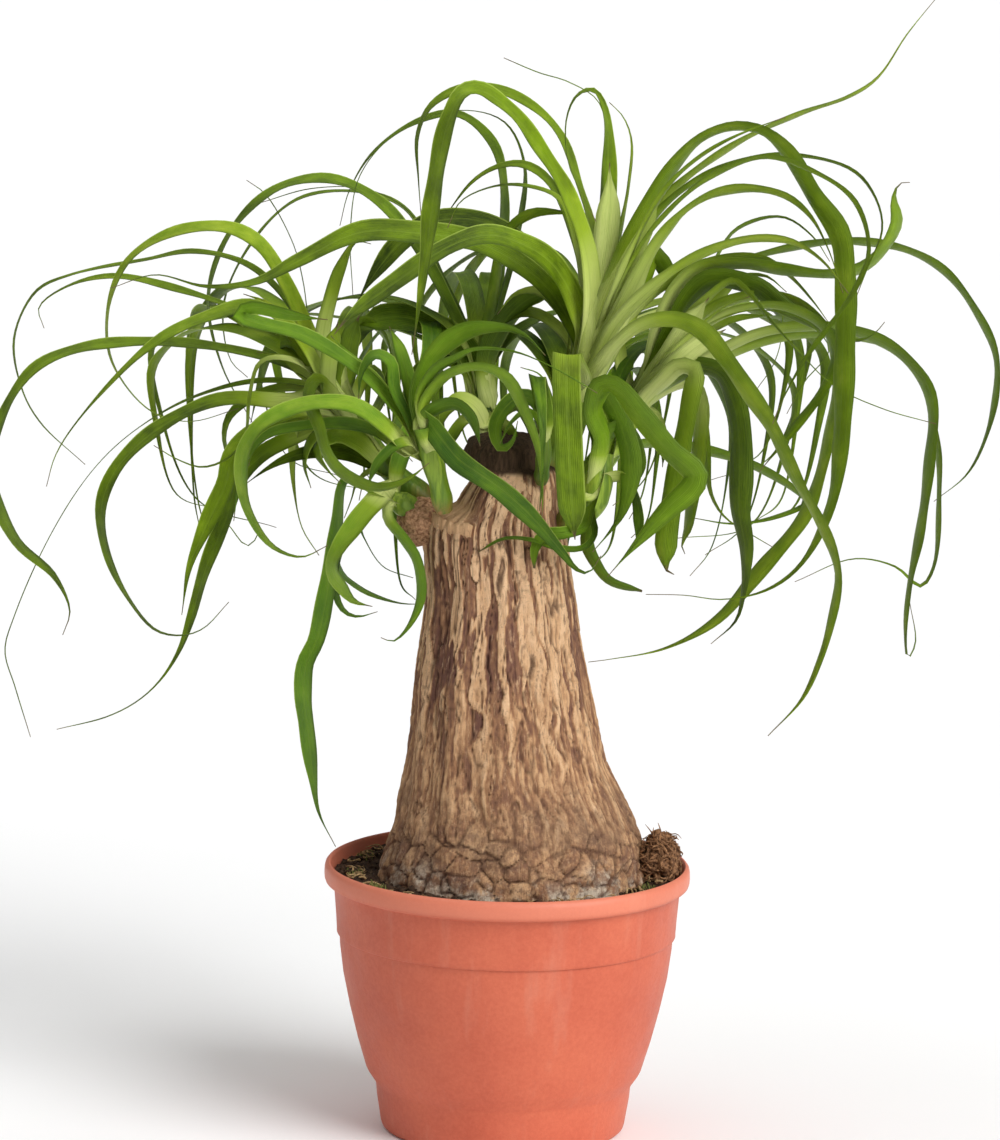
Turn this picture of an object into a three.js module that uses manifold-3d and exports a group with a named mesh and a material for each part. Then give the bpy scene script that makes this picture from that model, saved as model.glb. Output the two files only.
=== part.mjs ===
// Potted ponytail palm: a plastic pot, its soil, the swollen trunk and nine heads of strap leaves.
// Millimetres, +Z up, the origin in the middle of the pot's underside and -Y towards the viewer.

import * as THREE from "three";
import { mergeVertices } from "three/addons/utils/BufferGeometryUtils.js";
import Module from "manifold-3d";

const wasm = await Module();
wasm.setup();

// Pot
const POT_HEIGHT = 156;
const POT_FLOOR = 3;
const FOOT_RADIUS = 68;
const POT_OUTSIDE = [
  [FOOT_RADIUS, 0],
  [70.4, 2.4],
  [72.9, 19],
  [73.6, 26],
  [79.3, 35],
  [89.4, 72],
  [93.3, 90],
  [95.9, 114],
  [97, 117],
  [99.6, 142],
  [105, 146.5],
  [105, 152.5],
  [103, POT_HEIGHT],
];
const POT_INSIDE = [
  [65.4, POT_FLOOR],
  [70.9, 26],
  [76.7, 35],
  [86.7, 72],
  [96.8, 141],
  [100.6, 147],
  [101.6, 155],
];
const POT_SIDES = 28;
const DRAIN_HOLES = 6;
const DRAIN_RING_RADIUS = 46;
const DRAIN_HOLE_RADIUS = 5;
const DRAIN_HOLE_SIDES = 8;

// Gap kept between touching pieces
const SEAT_GAP = 0.3;

// Soil
const SOIL_LEVEL = 149;
const SOIL_BUMP = 1.6;
const SOIL_SIDES = 28;
const SOIL_TOP_RADII = [99.6, 92, 80, 62];
const SOIL_HEAP = 3;
const SOIL_CLUMP_CENTRE = [87.5, -8, 158];
const SOIL_CLUMP_RADII = [12.2, 16, 19];

// Trunk: height, radius and how far its middle leans to the right
const TRUNK_RINGS = [
  [64, 18, 2],
  [74, 46, 2],
  [102, 71, 3],
  [134, 78.5, 3],
  [151, 77, 3],
  [175, 70.5, 4.8],
  [200, 62, 0.8],
  [215, 57, -1.8],
  [240, 52.2, -3.8],
  [262, 49, -5.6],
  [281, 45.6, -6.6],
  [311, 41.6, -7],
  [327, 40.4, -8.6],
  [342, 40, -10],
  [354, 38.5, -10.5],
  [366, 34.5, -9],
  [376, 31, -6.5],
  [384, 27, -4.5],
];
const TRUNK_SIDES = 24;
const BARK_DEPTH = 1.5;
const BARK_RIBS = 12;
const BLOCKS_END = [160, 190];
const RIBS_END = [335, 358];
const STUB_RINGS = [
  [350, 30, -5],
  [372, 29.5, -3.5],
  [387, 27, -3.5],
  [389, 25.4, -3.5],
  [396, 24.4, -4],
  [402, 21.5, -4.5],
  [405, 14, -5],
];
const STUB_SIDES = 14;
const KNOB_CENTRE = [-51, 1, 356];
const KNOB_RADII = [13, 14, 11];
const ROOT_COUNT = 5;
const ROOT_SIDES = 5;
const ROOT_RADII = [9, 6, 2];
const ROOT_ROUTE = [[34, 90], [56, 58], [58, 18]];

// Where the viewer stands, as the leaf routes below are the ones seen from there
const VIEW_POINT = new THREE.Vector3(-7.5, -4000, 1050);

// Leaves. A blade is folded along its middle, so it is broader than it looks.
const LEAF_BREADTH = 1.15;
const LEAF_THREAD = 1.3;
const KEEL_BASE = 0.8;
const KEEL_PER_WIDTH = 0.045;
const STATION_LENGTH = 96;
const LAST_STATION = 0.975;
const STATION_TURN = THREE.MathUtils.degToRad(47);
const CLEARANCE = 0.35;
const BENDS = [0, -5, 5, -10, 10, -16, 16, -22, 22, -29, 29, -37, 37, -46, 46, -56, 56];
const FREE_FROM = 0.16;
const STEM_SIDES = 7;
const ROOT_LOWEST = 0.35;
const ROOT_SPAN = 0.5;
const ROOT_INSET = 0.45;
const FINE_STEPS = 160;
const FINEST_DETAIL = 0.05;

// One leaf: its route as x and z where it crosses the plane y = 0 for the viewer, its width, where
// it starts and stops narrowing, its turn from broadside to edge-on in degrees and its depth y.
function leaf(width, fade, turn, depth, route) {
  return { width, fade, turn, depth, route };
}

// A leaf that folds over towards the viewer and hangs broadside, level from left to right.
function facingLeaf(width, fade, depth, route) {
  return { ...leaf(width, fade, [90, 90], depth, route), side: new THREE.Vector3(1, 0, 0) };
}

// The heads. Each has its stem from the trunk to the fan of leaves, and the traced leaves.
const HEADS = [
  {
    name: "head_front_left",
    stem: [[-40, 360], [-44, 378], [-56, 412]],
    stemDepth: [-22, -26, -26],
    stemRadii: [6, 8.5, 8],
    leaves: [
      leaf(12, [0.85, 1], [50, 40, 60], [-26, -32, -45], [[-58, 405], [-79, 432], [-96, 446],
        [-123, 461], [-148, 467], [-158, 471], [-152, 475], [-128, 471], [-108, 469]]),
      leaf(9, [0.5, 0.98], [60, 50, 50], [-26, -20, -14], [[-58, 408], [-79, 434], [-96, 450],
        [-106, 460]]),
      leaf(13, [0.55, 1], [45, 50, 50], [-26, -46, -30], [[-60, 396], [-72, 407], [-91, 420],
        [-112, 422], [-131, 417], [-146, 408], [-155, 393], [-156, 374], [-151, 356],
        [-138, 338], [-121, 332], [-106, 339]]),
      leaf(11, [0.5, 1], [60, 62, 60], [-26, -34, -42], [[-60, 394], [-80, 406], [-97, 410],
        [-122, 408], [-141, 403], [-151, 392], [-157, 376], [-160, 352]]),
      leaf(13, [0.5, 0.98], [45, 45, 50], [-26, -36, -50], [[-56, 425], [-52, 442],
        [-44, 454], [-34, 462], [-24, 466], [-4, 466], [6, 461], [16, 451]]),
      leaf(10, [0.3, 0.8], [60, 65, 60], [-26, -52, -66], [[-55, 425], [-46, 442], [-35, 449],
        [-25, 454], [-2, 453], [19, 445], [46, 430]]),
      leaf(12, [0.5, 0.98], [60, 60, 45], [-26, -48, -54], [[-53, 420], [-43, 436],
        [-33, 442], [-23, 444], [-13, 442], [-5, 437], [4, 421], [13, 397], [16, 370],
        [16, 357]]),
      leaf(12, [0.55, 1], [45, 35, 40, 60], [-26, -54, -54, -50], [[-52, 412], [-34, 391],
        [-20, 381], [-8, 373], [12, 355], [28, 337], [36, 328], [43, 326], [50, 336]]),
    ],
    rule: { count: 3, middle: 1.9, spread: 0.6, reach: 115, rise: 60, drop: 60, width: 11 },
  },
  {
    name: "head_left_knob",
    stem: [[-52, 358], [-60, 362], [-70, 367]],
    stemDepth: [-2, -3, -4],
    stemRadii: [6, 8, 8],
    leaves: [
      leaf(10, [0.5, 1], [50, 45, 60], [-4, -26, -34], [[-71, 364], [-72, 356], [-62, 343],
        [-55, 332], [-52, 314], [-54, 303], [-61, 290], [-68, 284], [-75, 286]]),
      leaf(14, [0.8, 1], [20, 20, 40], [-4, -30, -36], [[-73, 372], [-79, 366], [-87, 357],
        [-94, 347], [-100, 338], [-104, 329], [-103, 322], [-98, 315], [-91, 307], [-80, 304]]),
      leaf(9, [0.55, 1], [60, 60, 60], [-4, -8, -12], [[-73, 369], [-84, 362], [-96, 345],
        [-102, 325], [-100, 307], [-95, 300], [-88, 298], [-77, 301]]),
      leaf(12, [0.72, 0.97], [75, 66, 50, 45, 45, 50], [-4, -13, -14, -12, -11, -10],
        [[-71, 368], [-85, 375], [-95, 379], [-99, 373], [-101, 353], [-103, 338],
        [-107, 310], [-112, 284], [-118, 270], [-119, 250], [-117, 235], [-113, 205],
        [-109, 183], [-99, 163]]),
      leaf(9, [0.5, 1], [60, 65, 66], [-4, 10, 22], [[-72, 366], [-90, 352], [-101, 335],
        [-98, 323], [-90, 316], [-81, 311], [-63, 306], [-50, 306]]),
      leaf(6, [0.25, 0.6], [60, 65, 66], [-4, 16, 18], [[-72, 368], [-83, 364], [-88, 352],
        [-84, 341], [-74, 327], [-57, 321]]),
    ],
    rule: { count: 2, middle: 2, spread: 0.45, reach: 105, rise: 40, drop: 80, width: 10 },
  },
  {
    name: "head_left",
    stem: [[-48, 364], [-72, 384], [-104, 424]],
    stemDepth: [10, 14, 16],
    stemRadii: [7, 8, 8.5],
    leaves: [
      leaf(12, [0.3, 0.95], [30, 68, 68], [16, 22, 10], [[-106, 432], [-118, 460],
        [-132, 490], [-147, 512], [-165, 521], [-196, 518], [-221, 502], [-232, 478],
        [-232, 448], [-221, 427], [-205, 413], [-185, 409], [-158, 417]]),
      leaf(9, [0.4, 1], [60, 74, 70], [16, 45, 62], [[-106, 432], [-122, 466], [-140, 490],
        [-158, 502], [-186, 507], [-211, 502], [-255, 492], [-274, 482], [-286, 455],
        [-281, 425], [-270, 406], [-245, 383]]),
      leaf(8, [0.3, 0.8], [70, 76, 60], [16, 62, 90], [[-107, 430], [-130, 455], [-152, 471],
        [-196, 486], [-230, 492], [-255, 486], [-272, 473], [-269, 461]]),
      leaf(11, [0.75, 1], [50, 66, 68, 66, 50, 40], [16, -8, -20], [[-106, 428], [-122, 440],
        [-150, 449], [-200, 455], [-250, 450], [-277, 436], [-297, 398], [-298, 370],
        [-284, 338], [-262, 318], [-253, 298], [-257, 284]]),
      leaf(12, [0.4, 0.95], [55, 62, 60], [16, -25, -46], [[-107, 432], [-128, 464],
        [-150, 477], [-176, 470], [-196, 461], [-215, 447], [-249, 409], [-262, 388],
        [-267, 370]]),
      leaf(13, [0.35, 0.98], [30, 52, 58, 60], [16, -30, -42], [[-107, 424], [-130, 422],
        [-165, 423], [-186, 416], [-212, 399], [-229, 379], [-236, 358], [-232, 331],
        [-219, 305], [-204, 288], [-190, 285], [-177, 289], [-162, 305]]),
      leaf(7, [0.2, 0.45], [60, 78, 60], [16, 26, 40], [[-106, 427], [-140, 434], [-180, 425],
        [-215, 405], [-240, 381], [-264, 343], [-285, 294], [-290, 274], [-284, 253],
        [-275, 224]]),
      leaf(13, [0.45, 0.8], [50, 50, 60], [16, -20, -32], [[-101, 412], [-125, 402],
        [-145, 391], [-158, 376], [-165, 354], [-176, 325], [-184, 295], [-190, 277],
        [-200, 260], [-213, 247], [-231, 237], [-260, 229]]),
      leaf(12, [0.6, 0.98], [45, 45, 30], [16, -36, -46], [[-104, 415], [-128, 412],
        [-150, 404], [-162, 389], [-165, 374], [-176, 349], [-185, 325], [-189, 297]]),
      leaf(6, [0.3, 0.98], [65, 70, 50], [16, -8, -4], [[-106, 430], [-128, 446], [-146, 444],
        [-152, 424], [-154, 402], [-163, 389], [-178, 383], [-192, 387], [-206, 395]]),
      leaf(9, [0.3, 0.7], [60, 65, 60], [16, -14, -30], [[-106, 426], [-132, 430],
        [-150, 424], [-163, 413], [-166, 399], [-158, 376], [-149, 354], [-146, 345],
        [-152, 338], [-162, 349], [-169, 358]]),
      leaf(9, [0.75, 1], [40, 45, 50], [16, -34, -44], [[-106, 428], [-114, 434], [-118, 424],
        [-112, 408], [-107, 392], [-99, 382], [-83, 374], [-72, 374], [-60, 379], [-49, 388]]),
      leaf(12, [0.6, 0.98], [60, 55, 60], [16, 10, 20], [[-107, 432], [-119, 450],
        [-131, 458], [-141, 451], [-146, 433], [-151, 409]]),
      leaf(8, [0.3, 0.8], [55, 50, 60], [16, -4, -15], [[-105, 421], [-118, 417], [-126, 407],
        [-127, 388], [-126, 373], [-121, 349], [-111, 333]]),
      leaf(12, [0.5, 0.98], [45, 50, 40], [14, 4, 0], [[-80, 388], [-95, 393], [-112, 394],
        [-130, 389], [-141, 383], [-153, 374]]),
      leaf(12, [0.6, 0.95], [45, 45, 50], [14, -6, -12], [[-78, 390], [-90, 400], [-103, 403],
        [-113, 394], [-107, 383], [-99, 375]]),
      leaf(8, [0.4, 0.9], [45, 50, 60], [14, 6, 4], [[-72, 381], [-82, 383], [-90, 376],
        [-93, 366], [-97, 355]]),
      leaf(6, [0.25, 0.6], [65, 72, 60], [16, 30, 40], [[-107, 436], [-118, 465], [-122, 490],
        [-128, 512], [-144, 540], [-155, 548]]),
    ],
    rule: { count: 5, middle: 1.75, spread: 0.65, reach: 130, rise: 42, drop: 85, width: 12 },
  },
  {
    name: "head_centre",
    stem: [[14, 384], [27, 404], [38, 442]],
    stemDepth: [4, 5, 5],
    stemRadii: [9, 10.5, 10],
    leaves: [
      leaf(13, [0.5, 0.95], [50, 35, 60], [5, -26, -40], [[37, 455], [31, 470], [18, 489],
        [0, 504], [-25, 516], [-55, 520], [-90, 520], [-125, 503], [-150, 490], [-178, 487],
        [-206, 493], [-231, 485]]),
      leaf(15, [0.75, 1], [50, 60, 55], [5, -62, -112], [[40, 455], [42, 480], [39, 511],
        [27, 544], [10, 571], [-6, 591], [-23, 602], [-34, 600], [-42, 585], [-50, 539],
        [-54, 499], [-60, 450]]),
      leaf(12, [0.6, 1], [60, 65, 65], [5, 42, 70], [[41, 460], [42, 520], [33, 550],
        [23, 576], [8, 592], [-15, 603], [-36, 602], [-52, 592], [-59, 575], [-58, 551],
        [-56, 528]]),
      leaf(13, [0.7, 1], [50, 50, 50], [5, -56, -96], [[38, 462], [34, 478], [26, 495],
        [16, 507], [0, 516], [-18, 520], [-40, 513], [-70, 492], [-97, 470], [-104, 461]]),
      leaf(13, [0.5, 1], [60, 62, 60], [5, 30, 46], [[38, 470], [31, 520], [16, 551],
        [2, 560], [-12, 559], [-27, 550], [-45, 526]]),
      leaf(8, [0.4, 1], [65, 70, 65], [5, -14, -30], [[37, 470], [32, 516], [22, 541],
        [3, 548], [-16, 547], [-34, 538], [-41, 523]]),
      leaf(15, [0.6, 1], [20, 30, 60, 70], [5, -12, -26, -44], [[44, 460], [48, 510],
        [50, 560], [47, 592], [40, 603], [31, 600], [25, 586], [27, 560], [34, 545], [43, 528]]),
      leaf(9, [0.4, 1], [65, 70, 60], [5, 10, 16], [[46, 470], [56, 520], [61, 550],
        [62, 575], [57, 588], [49, 596]]),
      leaf(8, [0.2, 0.6], [60, 75, 60], [5, 22, 36], [[42, 460], [46, 520], [48, 570],
        [43, 596], [26, 607], [9, 612], [-11, 620]]),
      leaf(15, [0.62, 0.95], [45, 65, 75, 50, 50, 60, 60], [5, -20, -32, -38, -40, -38, -36],
        [[42, 452], [55, 496], [68, 529], [86, 561], [101, 577], [119, 584], [136, 582],
        [150, 571], [166, 546], [181, 524], [185, 500], [186, 453], [185, 400], [180, 366],
        [164, 333], [145, 318], [120, 312], [98, 314], [76, 314]]),
      leaf(10, [0.3, 0.9], [60, 72, 72], [5, 22, 46], [[43, 455], [60, 502], [76, 535],
        [91, 552], [124, 576], [157, 592], [184, 602], [200, 613], [216, 638], [232, 659]]),
      leaf(8, [0.5, 1], [60, 68, 60], [5, 6, 12], [[44, 458], [62, 510], [82, 548], [99, 565],
        [118, 577], [149, 590]]),
      leaf(10, [0.5, 1], [65, 70, 65], [5, -6, -12], [[44, 456], [62, 508], [80, 537],
        [108, 558], [141, 568], [176, 565], [192, 557], [203, 540], [205, 525], [198, 506],
        [191, 486]]),
      leaf(9, [0.85, 1], [68, 74, 74, 60], [5, -18, -28], [[45, 452], [60, 498], [76, 526],
        [104, 553], [138, 567], [166, 559], [189, 543], [198, 515], [191, 493], [163, 451],
        [150, 425], [146, 414]]),
      leaf(15, [0.55, 0.95], [40, 55, 70, 50, 70], [5, -8, -14, -18, -20], [[46, 448],
        [60, 480], [75, 513], [92, 535], [108, 545], [128, 549], [150, 545], [164, 534],
        [175, 515], [184, 490]]),
      leaf(12, [0.6, 1], [50, 60, 65], [5, -36, -46], [[44, 447], [56, 471], [80, 496],
        [105, 512], [130, 520], [154, 519], [171, 509], [187, 490]]),
      leaf(11, [0.6, 1], [60, 68, 60], [5, 12, 12], [[46, 450], [68, 480], [92, 499],
        [118, 509], [140, 508], [154, 499], [168, 484], [177, 472]]),
      leaf(14, [0.55, 1.03], [60, 65, 45, 50, 66, 70, 55, 50], [5, -40, -56, -62, -68, -70],
        [[44, 444], [56, 459], [73, 471], [90, 473], [106, 466], [118, 452], [131, 434],
        [146, 412], [161, 382], [175, 358], [183, 340], [186, 325], [182, 298], [177, 279],
        [167, 255], [148, 233]]),
      facingLeaf(14, [0.86, 1], [5, -38, -58, -60, -62, -62, -52], [[34, 440], [30, 449],
        [28, 453], [28, 443], [29, 420], [30, 403], [32, 374], [34, 353], [35, 345]]),
    ],
    rule: { count: 6, middle: 1.5, spread: 1.1, reach: 170, rise: 45, drop: 75, width: 13 },
  },
  {
    name: "head_right",
    stem: [[18, 364], [45, 386], [71, 428]],
    stemDepth: [14, 17, 17],
    stemRadii: [6.5, 8.5, 9],
    leaves: [
      leaf(14, [0.85, 1], [60, 45, 40, 60, 60], [17, 4, -6, -12, -15], [[74, 440], [80, 468],
        [90, 492], [103, 503], [126, 506], [151, 503], [177, 501], [194, 505], [206, 516],
        [213, 531], [211, 545], [214, 553], [220, 554]]),
      leaf(14, [0.55, 1], [50, 45, 50], [17, 4, -4], [[75, 438], [86, 465], [97, 487],
        [110, 497], [134, 493], [150, 482], [175, 469], [191, 463], [201, 466], [208, 474]]),
      leaf(9, [0.3, 0.75], [55, 65, 65], [17, -16, -24], [[74, 434], [88, 463], [105, 484],
        [121, 496], [131, 489], [144, 473], [160, 456], [180, 437], [209, 424], [239, 416]]),
      leaf(8, [0.4, 1], [55, 64, 60], [17, -4, -12], [[74, 436], [90, 456], [106, 472],
        [120, 483], [131, 487]]),
      leaf(14, [0.5, 0.98], [20, 35, 50], [17, 12, 8], [[73, 434], [84, 457], [100, 471],
        [112, 486], [126, 498], [140, 499], [152, 490]]),
      leaf(13, [0.9, 1], [60, 50, 35, 40], [17, -14, -24, -28], [[71, 426], [82, 437],
        [92, 446], [101, 444], [99, 427], [95, 402], [90, 370], [87, 345], [88, 328],
        [92, 326]]),
      leaf(15, [0.55, 1], [60, 50, 35, 40, 50], [17, 0, -8, -10, -12], [[73, 428], [88, 440],
        [104, 447], [116, 443], [124, 429], [128, 410], [129, 384], [129, 364], [133, 342],
        [132, 317], [128, 300], [114, 286]]),
      leaf(12, [0.85, 1], [60, 55, 55, 60], [17, 8, 4, 0], [[72, 424], [88, 435], [100, 437],
        [105, 426], [105, 404], [102, 377], [99, 352], [96, 343], [98, 338]]),
      leaf(11, [0.4, 0.9], [60, 60, 55, 60], [17, 14, 12, 10], [[72, 426], [90, 438],
        [99, 441], [104, 430], [106, 414], [109, 392], [112, 373], [120, 360], [134, 351],
        [148, 343]]),
      leaf(12, [0.7, 1], [55, 68, 66, 68], [17, 16, 18, 22], [[73, 428], [86, 441],
        [106, 451], [136, 466], [164, 471], [190, 469], [214, 459], [232, 440], [237, 424],
        [236, 395], [232, 355], [227, 325], [225, 296], [227, 280], [231, 289], [227, 313]]),
      leaf(10, [0.6, 0.95], [55, 68, 70, 70], [17, 26, 30, 32], [[73, 426], [92, 439],
        [123, 455], [150, 464], [180, 466], [208, 461], [228, 444], [240, 405], [242, 370],
        [240, 333], [233, 322], [218, 333], [194, 337], [161, 323]]),
      leaf(10, [0.8, 1], [62, 74, 70, 72], [17, 30, 36, 42], [[74, 434], [84, 462],
        [100, 490], [126, 507], [160, 517], [188, 520], [218, 516], [240, 505], [258, 484],
        [272, 455], [270, 418], [258, 388], [239, 371]]),
      leaf(7, [0.2, 0.6], [65, 72, 70], [17, 42, 52], [[75, 440], [94, 475], [108, 502],
        [122, 525], [148, 533], [166, 522], [176, 508]]),
      leaf(6, [0.2, 0.5], [60, 70, 70], [17, 24, 18], [[76, 436], [108, 472], [134, 487],
        [148, 484], [150, 466], [146, 449], [136, 433]]),
      leaf(12, [0.7, 0.95], [60, 65, 60, 55, 60], [17, 10, 6, 2, 0], [[74, 430], [90, 458],
        [110, 480], [135, 488], [158, 484], [176, 468], [182, 445], [180, 418], [172, 378],
        [165, 360], [141, 329], [117, 300], [88, 283], [57, 276], [44, 274]]),
      leaf(9, [0.85, 1], [60, 65, 60], [17, -8, -12], [[75, 432], [95, 460], [122, 479],
        [150, 482], [172, 472], [181, 455], [176, 437], [154, 406], [139, 386]]),
      leaf(6, [0.25, 0.6], [60, 70, 70], [17, -18, -24], [[75, 434], [100, 465], [130, 479],
        [160, 475], [177, 458], [163, 438], [154, 420]]),
    ],
    rule: { count: 5, middle: 1.45, spread: 0.6, reach: 150, rise: 45, drop: 90, width: 13 },
  },
  {
    name: "head_right_low",
    stem: [[26, 353], [42, 364], [52, 396]],
    stemDepth: [-10, -14, -14],
    stemRadii: [6, 10.5, 8],
    leaves: [
      leaf(13, [0.6, 0.95], [60, 30, 30, 50], [-14, -20, -26, -30], [[48, 402], [45, 418],
        [49, 431], [55, 424], [62, 408], [66, 392], [65, 376], [61, 360], [54, 349], [45, 338]]),
      leaf(15, [0.7, 0.98], [60, 45, 40, 35, 40], [-14, -30, -36, -40, -40], [[49, 404],
        [44, 420], [49, 434], [58, 433], [70, 419], [88, 398], [103, 384], [101, 377],
        [88, 364], [68, 341], [54, 324]]),
      leaf(10, [0.4, 1.4], [40, 50, 60], [-14, -20, -24], [[44, 366], [43, 354], [42, 343],
        [47, 332], [55, 322], [74, 316]]),
      leaf(6, [0.4, 1.2], [60, 62, 50], [-14, -48, -50], [[44, 362], [46, 349], [40, 341],
        [27, 340], [8, 345], [-6, 345], [-20, 337]]),
      leaf(8, [0.7, 1.2], [60, 45, 40], [-14, -52, -56], [[43, 364], [40, 353], [28, 349],
        [17, 347], [12, 339], [12, 328]]),
      leaf(9, [0.5, 1], [60, 60, 60], [-14, 2, 10], [[51, 392], [66, 400], [84, 402],
        [106, 399], [134, 391], [159, 377], [166, 369], [151, 361], [126, 356], [101, 359]]),
    ],
    rule: { count: 2, middle: 0.9, spread: 0.5, reach: 105, rise: 50, drop: 80, width: 12 },
  },
  {
    name: "head_front",
    stem: [[15, 378], [16, 392], [17, 408]],
    stemDepth: [-24, -33, -34],
    stemRadii: [4, 5.5, 5],
    leaves: [
      leaf(9, [0.6, 0.97], [45, 30, 40], [-34, -40, -46], [[16, 412], [11, 425], [1, 427],
        [-8, 419], [-12, 408], [-8, 397], [-2, 401], [1, 413]]),
      leaf(6, [0.4, 1], [50, 60, 60], [-34, -44, -48], [[15, 410], [6, 419], [-3, 412],
        [-9, 400]]),
      leaf(8, [0.3, 0.9], [50, 60, 60], [-34, -40, -44], [[18, 412], [19, 428], [13, 440],
        [2, 444]]),
    ],
    rule: { count: 1, middle: -1.4, spread: 0.5, reach: 50, rise: 35, drop: 30, width: 8 },
  },
  {
    name: "head_back",
    stem: [[-10, 380], [-14, 402], [-20, 436]],
    stemDepth: [18, 27, 30],
    stemRadii: [7, 8.5, 9],
    leaves: [
      leaf(13, [0.4, 1], [55, 60, 65], [30, 60, 80], [[-18, 450], [-12, 485], [-9, 545],
        [-16, 572], [-36, 588], [-60, 583], [-84, 565], [-97, 543], [-102, 523]]),
      leaf(8, [0.25, 0.6], [65, 74, 70], [30, 46, 34], [[-16, 450], [-2, 515], [2, 560],
        [-10, 584], [-36, 590], [-70, 577], [-91, 552], [-96, 520], [-94, 483]]),
      leaf(11, [0.5, 1], [60, 65, 65], [30, 46, 52], [[-22, 442], [-38, 478], [-56, 510],
        [-80, 538], [-108, 550], [-138, 544], [-163, 520], [-176, 482], [-168, 442],
        [-150, 409]]),
      leaf(7, [0.25, 0.6], [65, 74, 70], [30, 62, 78], [[-22, 446], [-42, 494], [-62, 531],
        [-86, 544], [-118, 544], [-148, 535]]),
      leaf(8, [0.4, 1], [65, 74, 70], [30, 72, 88], [[-23, 444], [-43, 492], [-64, 533],
        [-92, 543], [-126, 538], [-150, 515], [-167, 478], [-163, 445], [-153, 435]]),
      leaf(11, [0.7, 1], [55, 60, 65], [30, 26, 20], [[-19, 450], [-14, 490], [-8, 520],
        [6, 532], [24, 533], [39, 530]]),
      leaf(11, [0.7, 1.05], [40, 50, 50], [27, 12, 2], [[-15, 406], [-23, 421], [-32, 425],
        [-40, 418], [-44, 405]]),
      leaf(9, [0.7, 1.05], [45, 50, 50], [27, 14, 6], [[-13, 406], [-6, 419], [1, 422],
        [7, 412], [9, 400]]),
    ],
    rule: { count: 8, middle: 1.9, spread: 1.1, reach: 180, rise: 40, drop: 90, width: 11 },
  },
  {
    name: "head_back_right",
    stem: [[12, 374], [20, 392], [30, 418]],
    stemDepth: [18, 42, 62],
    stemRadii: [6, 8, 8],
    leaves: [
      leaf(12, [0.7, 1.05], [40, 50, 50], [44, 36, 28], [[21, 396], [24, 412], [21, 423],
        [14, 417], [12, 402]]),
    ],
    rule: { count: 8, middle: 1.3, spread: 0.85, reach: 165, rise: 42, drop: 100, width: 13 },
  },
];

function solidFrom(geometry) {
  geometry.deleteAttribute("normal");
  geometry.deleteAttribute("uv");
  const merged = mergeVertices(geometry, 1e-4);
  const vertProperties = new Float32Array(merged.attributes.position.array);
  const triVerts = new Uint32Array(merged.index.array);
  return new wasm.Manifold(new wasm.Mesh({ numProp: 3, vertProperties, triVerts }));
}

function geometryFrom(solid) {
  const mesh = solid.getMesh();
  const geometry = new THREE.BufferGeometry();
  geometry.setAttribute("position", new THREE.BufferAttribute(mesh.vertProperties, 3));
  geometry.setIndex(new THREE.BufferAttribute(mesh.triVerts, 1));
  return geometry;
}

// A closed skin over rings of points. Each end is a fan from the first point of its ring.
function skinOver(rings) {
  const sides = rings[0].length;
  const positions = rings.flat().flatMap((point) => point.toArray());
  const last = (rings.length - 1) * sides;
  const faces = [];
  for (let side = 0; side < sides; side += 1) {
    const next = (side + 1) % sides;
    for (let low = 0; low < last; low += sides) {
      const high = low + sides;
      faces.push(low + side, low + next, high + next);
      faces.push(low + side, high + next, high + side);
    }
  }
  for (let side = 1; side < sides - 1; side += 1) {
    faces.push(0, side + 1, side);
    faces.push(last, last + side, last + side + 1);
  }
  const geometry = new THREE.BufferGeometry();
  geometry.setAttribute("position", new THREE.Float32BufferAttribute(positions, 3));
  geometry.setIndex(faces);
  return solidFrom(geometry);
}

// The same skin in links of two rings each, joined, so it may bend tightly and not cross itself.
function linksOver(rings) {
  const links = rings.slice(1).map((ring, row) => {
    return wasm.Manifold.hull([...rings[row], ...ring].map((point) => point.toArray()));
  });
  return wasm.Manifold.union(links).simplify(FINEST_DETAIL);
}

// A repeatable draw from 0 to 1.
function draw(seed) {
  const wave = Math.sin(seed * 12.9898) * 43758.5453;
  return wave - Math.floor(wave);
}

function smooth(from, to, value) {
  const part = THREE.MathUtils.clamp((value - from) / (to - from), 0, 1);
  return part * part * (3 - 2 * part);
}

// The value of a list spread evenly from 0 to 1.
function along(list, part) {
  const place = THREE.MathUtils.clamp(part, 0, 1) * (list.length - 1);
  const low = Math.min(Math.floor(place), list.length - 2);
  return THREE.MathUtils.lerp(list[low], list[low + 1], place - low);
}

// The point at depth y that the viewer sees where x and z lie on the plane y = 0.
function seenAt(x, z, y) {
  const onPlane = new THREE.Vector3(x, 0, z);
  const share = (y - VIEW_POINT.y) / -VIEW_POINT.y;
  return onPlane.sub(VIEW_POINT).multiplyScalar(share).add(VIEW_POINT);
}

// Pot

function makePot() {
  const profile = [[0, 0], ...POT_OUTSIDE, ...POT_INSIDE.toReversed(), [0, POT_FLOOR]];
  const points = profile.map(([radius, height]) => new THREE.Vector2(radius, height));
  const lathe = new THREE.LatheGeometry(points, POT_SIDES);
  lathe.rotateX(Math.PI / 2);
  let pot = solidFrom(lathe);
  for (let hole = 0; hole < DRAIN_HOLES; hole += 1) {
    const angle = (hole / DRAIN_HOLES) * Math.PI * 2;
    const drill = new THREE.CylinderGeometry(
      DRAIN_HOLE_RADIUS, DRAIN_HOLE_RADIUS, POT_FLOOR * 4, DRAIN_HOLE_SIDES,
    );
    drill.rotateX(Math.PI / 2);
    drill.translate(DRAIN_RING_RADIUS * Math.cos(angle), DRAIN_RING_RADIUS * Math.sin(angle), 0);
    pot = pot.subtract(solidFrom(drill));
  }
  return pot;
}

// Trunk

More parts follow.
